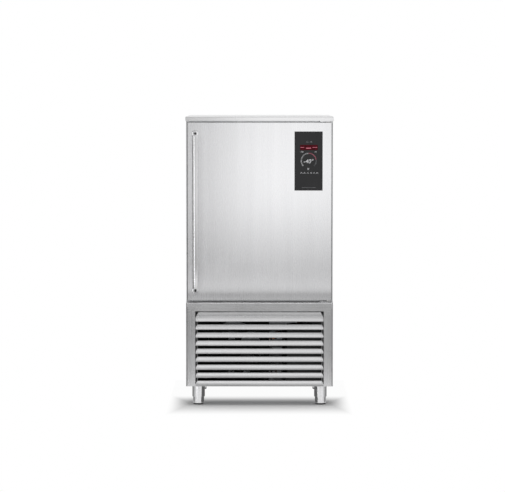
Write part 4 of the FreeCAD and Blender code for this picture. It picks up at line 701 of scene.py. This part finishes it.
def fan(name, hub, tip, shaft):
    """A wheel on its shaft, with a domed cap in front; hub and shaft give their ends in depth."""
    low, high = box_mm(name)
    x, y, z = (low[0] + high[0]) / 2, (hub[0] + hub[1]) / 2, (low[2] + high[2]) / 2
    half = (hub[1] - hub[0]) / 2
    solid = Solid()
    solid.lathe((x, y, z), FRONTWARD, [
        (8.0, -half), (40.0, -half), (44.0, -half + 2.0), (44.0, half - 6.0), (42.0, half - 2.5),
        (36.0, half - 0.6), (24.0, half), (14.0, half), (13.0, half - 2.5), (6.0, half - 2.5)], 64)
    for n in range(BLADES):
        fan_blade(solid, (x, y, z), 2 * math.pi * n / BLADES, tip, half - 1.5)
    solid.lathe((x, 0.0, z), BACKWARD, [(SHAFT_RADIUS, end) for end in shaft], 24)
    for n in range(BLADES):
        angle = 2 * math.pi * (n + 0.5) / BLADES
        spot = (x + BOLT_CIRCLE * math.cos(angle), y - (half - 0.2), z + BOLT_CIRCLE * math.sin(angle))
        solid.lathe(spot, FRONTWARD, [(3.0, -1.0), (3.0, 0.0), (2.2, 0.4)], 16)
    solid.piece(f"{name}_moulded", name, "fan_plastic", stands_for=(name,), crease=40.0)


for wheel in ("evaporator_fan_upper", "evaporator_fan_lower"):
    fan(wheel, (207.25, 235.25), 129.0, (190.5, 234.0))
fan("condenser_fan", (-211.75, -183.75), 139.0, (-210.0, -167.0))


def fan_guards():
    """Wire rings on spokes around a plate that carries the motor."""
    solid = Solid()
    (_, low_y, low_z), (_, high_y, high_z) = box_mm("fan_guards")
    turns = [2 * math.pi * k / 64 for k in range(64)]
    for z in (high_z - GUARD_HALF, low_z + GUARD_HALF):
        for radius in GUARD_RINGS:
            y = (low_y + high_y) / 2 + (OUTER_RING_SHIFT if radius == GUARD_RINGS[-1] else 0.0)
            solid.tube([(radius * math.cos(a), y, z + radius * math.sin(a)) for a in turns],
                       RING_WIRE, 10, closed=True)
        for n in range(SPOKES):
            angle = math.pi / SPOKES + 2 * math.pi * n / SPOKES
            out = Vector((math.cos(angle), 0.0, math.sin(angle)))
            middle = Vector((0.0, high_y - SPOKE_WIRE, z))
            solid.tube([middle + out * reach for reach in SPOKE_POINTS], SPOKE_WIRE, 8)
            solid.lathe(middle + out * EYELET_CIRCLE, BACKWARD, [(4.5, 0.0), (4.5, 1.0), (3.0, 1.2)], 16)
        solid.lathe((0.0, high_y, z), FRONTWARD, MOTOR_RING, 64)
    solid.piece("fan_guard_wires", "cabinet", "black_paint", stands_for=("fan_guards",), crease=40.0)


fan_guards()

# ---------------------------------------------------------------- heat exchangers

FIN_HALF, FIN_MARGIN, END_PLATE = 0.2, 3.0, 2.0
EDGE_STRIP = 1.5
COIL_TUBE = 4.5
COIL_END_ROOM = 20.0


def finned_coil(node, name, slot, look, pitch, rows, fin_low=None):
    """Thin fins on rows of tubes between two end plates, with return bends outside the plates."""
    (x0, y0, z0), (x1, y1, z1) = box_mm(node)
    bottom = z0 if fin_low is None else fin_low
    left, right = x0 + COIL_END_ROOM, x1 - COIL_END_ROOM
    solid = Solid()
    count = int((right - left) / pitch)
    for n in range(count + 1):
        x = left + (right - left) * n / count
        solid.block((x - FIN_HALF, y0 + 1.0, bottom + FIN_MARGIN),
                    (x + FIN_HALF, y1 - 1.0, z1 - FIN_MARGIN))
    for x in (left - END_PLATE, right):
        solid.block((x, y0, z0), (x + END_PLATE, y1, z1))
    for z in (bottom, z1 - EDGE_STRIP):
        solid.block((left, y0, z), (right, y1, z + EDGE_STRIP))
    spacing = (z1 - bottom) / (2 * rows)
    levels = [bottom + spacing * (2 * n + 1) for n in range(rows)]
    reach = COIL_END_ROOM - END_PLATE - COIL_TUBE - 0.1
    turns = [math.pi * k / 12 for k in range(13)]
    for column in range(2):
        y = y0 + (y1 - y0) / 2 * (column + 0.5)
        for z in levels:
            solid.tube([(left - 3.0, y, z), (right + 3.0, y, z)], COIL_TUBE, 10)
        for edge, outward, first in ((left - END_PLATE, -1, 0), (right + END_PLATE, 1, 1)):
            for n in range(first, rows - 1, 2):
                middle = (levels[n] + levels[n + 1]) / 2
                solid.tube([(edge + outward * reach * math.sin(a), y, middle - spacing * math.cos(a))
                            for a in turns], COIL_TUBE, 10)
    solid.piece(name, "cabinet", slot, look, (node,), crease=40.0)


finned_coil("condenser_coil", "condenser_core", "black_paint", "black_fins", 4.0, 12)
finned_coil("evaporator_coil", "evaporator_core", "fins", "fins", 5.0, 22, box_mm("fan_panel")[0][2])

# ---------------------------------------------------------------- seal, screws and fittings

GASKET_WIDTH = 18.0
# Width from the inner edge, and share of the depth.
GASKET_PROFILE = (
    (1.0, 0.0), (17.0, 0.0), (17.0, 0.14), (13.0, 0.22), (12.6, 0.30), (15.6, 0.42), (16.0, 0.48),
    (15.4, 0.56), (17.4, 0.72), (17.6, 0.94), (16.4, 1.0), (2.6, 1.0), (0.6, 0.94), (0.8, 0.72),
    (2.6, 0.56), (2.0, 0.48), (2.4, 0.42), (5.4, 0.30), (5.0, 0.22), (1.0, 0.14))
REAR_SCREWS_X = (-386.0, 386.0)
REAR_SCREWS_Z = (218.5, 445.5, 724.8, 1056.4, 1388.0)
COMPRESSOR_X, COMPRESSOR_Y, CAN_RADIUS = 220.0, 58.75, 94.0
WELD_PROFILE = [(CAN_RADIUS, 262.0), (97.2, 263.5), (98.0, 266.0), (98.0, 270.0), (97.2, 272.5),
                (CAN_RADIUS, 274.0)]
TERMINALS_Y, TERMINALS_Z = COMPRESSOR_Y - 89.0, 225.0
TERMINALS_HALF_WIDTH, TERMINALS_HALF_HEIGHT = 32.0, 38.0
# Reach out from the can and inset of the cover's sides there.
TERMINALS_PROFILE = ((-6.0, 0.0), (20.0, 0.0), (26.0, 2.0), (29.0, 6.0))
CORNERS = ((-1, -1), (1, -1), (1, 1), (-1, 1))


def gasket():
    """A magnetic seal with a foot, a bellows and a flat face, mitred at the corners."""
    (x0, y0, z0), (x1, y1, z1) = box_mm("door_gasket")
    rings = []
    for side_x, side_z in CORNERS:
        ring = []
        for u, v in GASKET_PROFILE:
            inset = GASKET_WIDTH - u
            x = x0 + inset if side_x < 0 else x1 - inset
            z = z0 + inset if side_z < 0 else z1 - inset
            ring.append((x, y0 + (y1 - y0) * v, z))
        rings.append(ring)
    solid = Solid().loft(rings, closed=True)
    solid.piece("door_gasket_profile", "door", "seal_rubber", stands_for=("door_gasket",), crease=30.0)


def rear_screws():
    """Pan heads with a cross recess along both edges of the rear."""
    solid = Solid()
    back = box_mm("rear_panel")[1][1]
    for x in REAR_SCREWS_X:
        for z in REAR_SCREWS_Z:
            socket_screw(solid, (x, back, z), BACKWARD, radius=5.0, height=2.4, shank=2.2, recess=2.6,
                         lobes=4, depth=0.7)
    solid.piece("rear_pan_screws", "cabinet", "screw_steel", stands_for=("rear_panel_screws",))


def compressor_details():
    """The weld around the can and the cover of its terminals."""
    weld = Solid().lathe((COMPRESSOR_X, COMPRESSOR_Y, 0.0), UPWARD, WELD_PROFILE, 96)
    weld.piece("compressor_weld", "cabinet", "black_paint")
    cover = Solid().loft([
        [(COMPRESSOR_X + sx * (TERMINALS_HALF_WIDTH - inset), TERMINALS_Y - out,
          TERMINALS_Z + sz * (TERMINALS_HALF_HEIGHT - inset)) for sx, sz in CORNERS]
        for out, inset in TERMINALS_PROFILE
    ])
    soften(cover.piece("compressor_terminal_cover", "cabinet", "black_plastic"), 2.0, 3)


gasket()
rear_screws()
compressor_details()

# ---------------------------------------------------------------- floor, light and camera

FRONT = DOOR_FRONT * MM
FLOOR_REACH, FLOOR_Z = 30.0, -0.0005
FLOOR_DARK, FLOOR_LIGHT = (0.60, 0.60, 0.60), (0.64, 0.64, 0.64)
# Where the floor's shadowed colour fades into white: from and to, in front, behind, beside and far behind.
# This mask is painted: near the cabinet it keeps a darker grey floor, a painted shade around the real
# shadow, and under the rear it lays a painted white glow over the real shadow.
SHADOW_FRONT, SHADOW_BACK = (-0.76, -0.30), (-0.245, 0.05)
SHADOW_SIDE, SHADOW_END = (0.38, 0.50), (0.42, 0.75)
# How much of the real shadow under the rear the painted white glow hides.
SHADOW_BACK_SHARE = 0.96
# Where the floor that reflections see turns darker, how dark it gets, and its share of white: reflections
# see a painted white glow over the floor and its shadow.
DIM_BACK, DIM_SIDE, DIM_LEVEL, MIRRORED_SHARE = (-0.5, -0.2), (0.6, 1.2), 0.66, 0.85
# The strengths of the room in reflections, of its even light, and the scale of its changes.
ROOM_GLOW, ROOM_LIGHT, ROOM_SCALE = (0.58, 0.86), 0.70, 1.1


def level_sheet(x0, y0, x1, y1, z):
    return [(x0, y0, z), (x1, y0, z), (x1, y1, z), (x0, y1, z)]


def upright_sheet(x0, y0, x1, y1, low, high):
    return [(x0, y0, low), (x1, y1, low), (x1, y1, high), (x0, y0, high)]


def stage_sheet(name, corners, material, flags=()):
    """A flat sheet of the studio through its corners; flags are the kinds of ray that don't see it."""
    mesh = bpy.data.meshes.new(name)
    mesh.from_pydata(corners, [], [tuple(range(len(corners)))])
    mesh.materials.append(material)
    thing = bpy.data.objects.new(name, mesh)
    bpy.context.scene.collection.objects.link(thing)
    for flag in flags:
        setattr(thing, flag, False)


def floor_material():
    """A pale floor that keeps the object's shadow in front and beside, inside a painted grey shade; under
    the rear a painted white glow hides the shadow, and far off it runs into the white background.
    """
    s = Shader("floor")
    s.tree.nodes.remove(s.bsdf)
    parts = s.node("ShaderNodeSeparateXYZ")
    s.link(s.place(), parts.inputs["Vector"])
    aside, y = s.math("ABSOLUTE", parts.outputs["X"]), parts.outputs["Y"]
    diffuse = s.node("ShaderNodeBsdfDiffuse")
    s.link(s.mix(s.noise((40.0, 40.0, 40.0)), FLOOR_DARK, FLOOR_LIGHT), diffuse.inputs["Color"])
    # White glow: the backdrop far off, and painted light over the shadow under the rear.
    white = s.node("ShaderNodeEmission")
    far_back = s.remap(y, 0.0, 1.0, *DIM_BACK, smooth=True)
    far_side = s.remap(aside, 0.0, 1.0, *DIM_SIDE, smooth=True)
    glossy = s.node("ShaderNodeLightPath").outputs["Is Glossy Ray"]
    dimmed = s.math("MULTIPLY", glossy, s.math("MAXIMUM", far_back, far_side))
    s.link(s.remap(dimmed, 1.0, DIM_LEVEL, 0.0, 1.0), white.inputs["Strength"])
    ahead = s.remap(y, 1.0, 0.0, *SHADOW_FRONT, smooth=True)
    behind = s.remap(y, 0.0, SHADOW_BACK_SHARE, *SHADOW_BACK, smooth=True)
    beside = s.remap(aside, 0.0, 1.0, *SHADOW_SIDE, smooth=True)
    beyond = s.remap(y, 0.0, 1.0, *SHADOW_END, smooth=True)
    # Painted mask: grey floor with its real shadow near the front and sides, and a painted white glow over
    # the shadow under the rear.
    painted_shade_and_glow = s.math("MAXIMUM", s.math("MAXIMUM", ahead, behind), s.math("MAXIMUM", beside, beyond))
    blend = s.node("ShaderNodeMixShader")
    # For reflections the floor shows a painted white glow, also over its shadow.
    s.link(s.math("MAXIMUM", painted_shade_and_glow, s.math("MULTIPLY", glossy, MIRRORED_SHARE)), blend.inputs["Fac"])
    s.link(diffuse.outputs["BSDF"], blend.inputs[1])
    s.link(white.outputs["Emission"], blend.inputs[2])
    s.link(blend.outputs["Shader"], s.output.inputs["Surface"])
    return s.material


def world():
    """White for the camera, a soft bright room for reflections, and an even one for the light."""
    made = bpy.data.worlds.new("studio")
    bpy.context.scene.world = made
    made.use_nodes = True
    tree = made.node_tree
    tree.nodes.clear()
    path = add_node(tree, "ShaderNodeLightPath")
    room = add_node(tree, "ShaderNodeTexNoise")
    room.inputs["Scale"].default_value = ROOM_SCALE
    room.inputs["Detail"].default_value = 0.0
    tree.links.new(add_node(tree, "ShaderNodeTexCoord").outputs["Generated"], room.inputs["Vector"])
    glow = add_node(tree, "ShaderNodeMapRange")
    for name, setting in zip(("From Min", "From Max", "To Min", "To Max"), (0.3, 0.7, *ROOM_GLOW)):
        glow.inputs[name].default_value = setting
    tree.links.new(room.outputs["Fac"], glow.inputs["Value"])
    lit = add_node(tree, "ShaderNodeMix", data_type="FLOAT")
    lit.inputs["A"].default_value = ROOM_LIGHT
    tree.links.new(path.outputs["Is Glossy Ray"], lit.inputs["Factor"])
    tree.links.new(glow.outputs["Result"], lit.inputs["B"])
    seen = add_node(tree, "ShaderNodeMath", operation="MAXIMUM")
    tree.links.new(path.outputs["Is Camera Ray"], seen.inputs[0])
    tree.links.new(path.outputs["Is Transmission Ray"], seen.inputs[1])
    strength = add_node(tree, "ShaderNodeMix", data_type="FLOAT")
    strength.inputs["B"].default_value = 1.0
    tree.links.new(seen.outputs["Value"], strength.inputs["Factor"])
    tree.links.new(lit.outputs["Result"], strength.inputs["A"])
    background = add_node(tree, "ShaderNodeBackground")
    background.inputs["Color"].default_value = (1.0, 1.0, 1.0, 1.0)
    tree.links.new(strength.outputs["Result"], background.inputs["Strength"])
    output = add_node(tree, "ShaderNodeOutputWorld")
    tree.links.new(background.outputs["Background"], output.inputs["Surface"])


def area_light(name, location, target, size, energy):
    light = bpy.data.lights.new(name, "AREA")
    light.shape = "RECTANGLE"
    light.size, light.size_y = size
    light.energy = energy
    lamp = bpy.data.objects.new(name, light)
    lamp.location = location
    lamp.rotation_euler = (Vector(target) - Vector(location)).to_track_quat("-Z", "Y").to_euler()
    lamp.visible_camera = False
    bpy.context.scene.collection.objects.link(lamp)


stage_sheet("floor", level_sheet(-FLOOR_REACH, -FLOOR_REACH, FLOOR_REACH, FLOOR_REACH, FLOOR_Z),
            floor_material())
world()
area_light("top_light", (0.0, -1.0, 4.2), (0.0, 0.0, 0.8), (3.0, 3.0), 60.0)

REFLECTED_ONLY = ("visible_camera", "visible_diffuse", "visible_shadow", "visible_transmission")


def card(name, corners, glow):
    """A studio card that only reflections see.

    glow is its strength, or makes it from the shader and the place's x, y and z.
    """
    s = Shader(name)
    s.tree.nodes.remove(s.bsdf)
    light = s.node("ShaderNodeEmission")
    if isinstance(glow, float):
        light.inputs["Strength"].default_value = glow
    else:
        parts = s.node("ShaderNodeSeparateXYZ")
        s.link(s.place(), parts.inputs["Vector"])
        s.link(glow(s, *(parts.outputs[n] for n in "XYZ")), light.inputs["Strength"])
    s.link(light.outputs["Emission"], s.output.inputs["Surface"])
    stage_sheet(name, corners, s.material, REFLECTED_ONLY)


def front_glow(s, x, y, z):
    """Bright at the top right, falling towards the left and the bottom."""
    upper = s.remap(z, 0.32, 1.16, 0.46, 1.05)
    crown = s.remap(z, 1.0, 0.92, 1.25, 1.6, smooth=True)
    left = s.remap(x, 0.55, 1.0, -0.46, 0.04, smooth=True)
    right = s.remap(x, 1.0, 0.92, 0.2, 0.5, smooth=True)
    weight = s.remap(z, 0.3, 1.0, 0.4, 1.0)
    share = s.math("SUBTRACT", 1.0, s.math("MULTIPLY", s.math("SUBTRACT", 1.0, left), weight))
    level = s.math("MULTIPLY", upper, crown)
    return s.math("MULTIPLY", level, s.math("MULTIPLY", share, right))


def louvre_glow(s, x, y, z):
    """Bright in front, falling towards the slats."""
    return s.remap(y, 0.92, 0.48, -0.74, FLAG_FRONT)


CARD_Y, CARD_TOP, CARD_HALF_WIDTH = FRONT - 1.0, 2.3, 0.75
STRIP_TOP = 1.7
FLAG_FRONT = -0.47
LEG_CARD_TOP = 0.103

card("front_card", upright_sheet(-CARD_HALF_WIDTH, CARD_Y, CARD_HALF_WIDTH, CARD_Y, 0.0, CARD_TOP),
     front_glow)
card("left_strip", upright_sheet(-0.95, -1.10, -CARD_HALF_WIDTH, -1.25, 0.0, STRIP_TOP), 3.2)
card("right_strip", upright_sheet(CARD_HALF_WIDTH, CARD_Y, 0.98, -1.14, 0.0, CARD_TOP), 1.0)
card("louvre_flag", level_sheet(-0.5, -1.0, 0.5, FLAG_FRONT, 0.6), louvre_glow)
card("rail_flag", level_sheet(-0.4, FLAG_FRONT, 0.4, -0.384, 0.573), 0.42)
card("lid_flag", level_sheet(-0.4, FLAG_FRONT, 0.4, -0.37, 1.577), 0.22)
for side, name, edge_glow in ((-1, "left", 0.06), (1, "right", 0.18)):
    for kind, x0, y0, x1, y1, low, high, strength in (
        ("side_flag", 0.44, -0.42, 0.80, -0.42, 0.0, STRIP_TOP, 0.70),
        ("edge_flag", 0.415, -0.46, 0.415, -0.37, 0.10, 1.56, edge_glow),
        ("leg_flag", 0.43, -0.34, 0.43, 0.0, 0.0, LEG_CARD_TOP, 0.30),
        ("inner_leg_flag", 0.26, -0.36, 0.26, -0.1, 0.0, LEG_CARD_TOP, 0.12),
    ):
        card(f"{name}_{kind}", upright_sheet(side * x0, y0, side * x1, y1, low, high), strength)
card("back_card", upright_sheet(-1.2, 2.5, 1.2, 2.5, 1.58, 2.2), 1.0)

SENSOR_WIDTH = 36.0
VIEW_DISTANCE, VIEW_WIDTH = 12.5, 2.7018
EYE_HEIGHT = 1.721
AIM_X, AIM_Z = -0.0376, 0.863


def camera():
    """The photograph's view: straight on, from a little above the lid and far enough away."""
    data = bpy.data.cameras.new("camera")
    data.sensor_width = SENSOR_WIDTH
    data.lens = SENSOR_WIDTH * VIEW_DISTANCE / VIEW_WIDTH
    eye = Vector((0.0, FRONT - VIEW_DISTANCE, EYE_HEIGHT))
    aim = Vector((AIM_X, FRONT, AIM_Z))
    thing = bpy.data.objects.new("camera", data)
    thing.location = eye
    thing.rotation_euler = (aim - eye).to_track_quat("-Z", "Y").to_euler()
    bpy.context.scene.collection.objects.link(thing)
    bpy.context.scene.camera = thing


camera()
bpy.context.scene.view_settings.view_transform = "Standard"
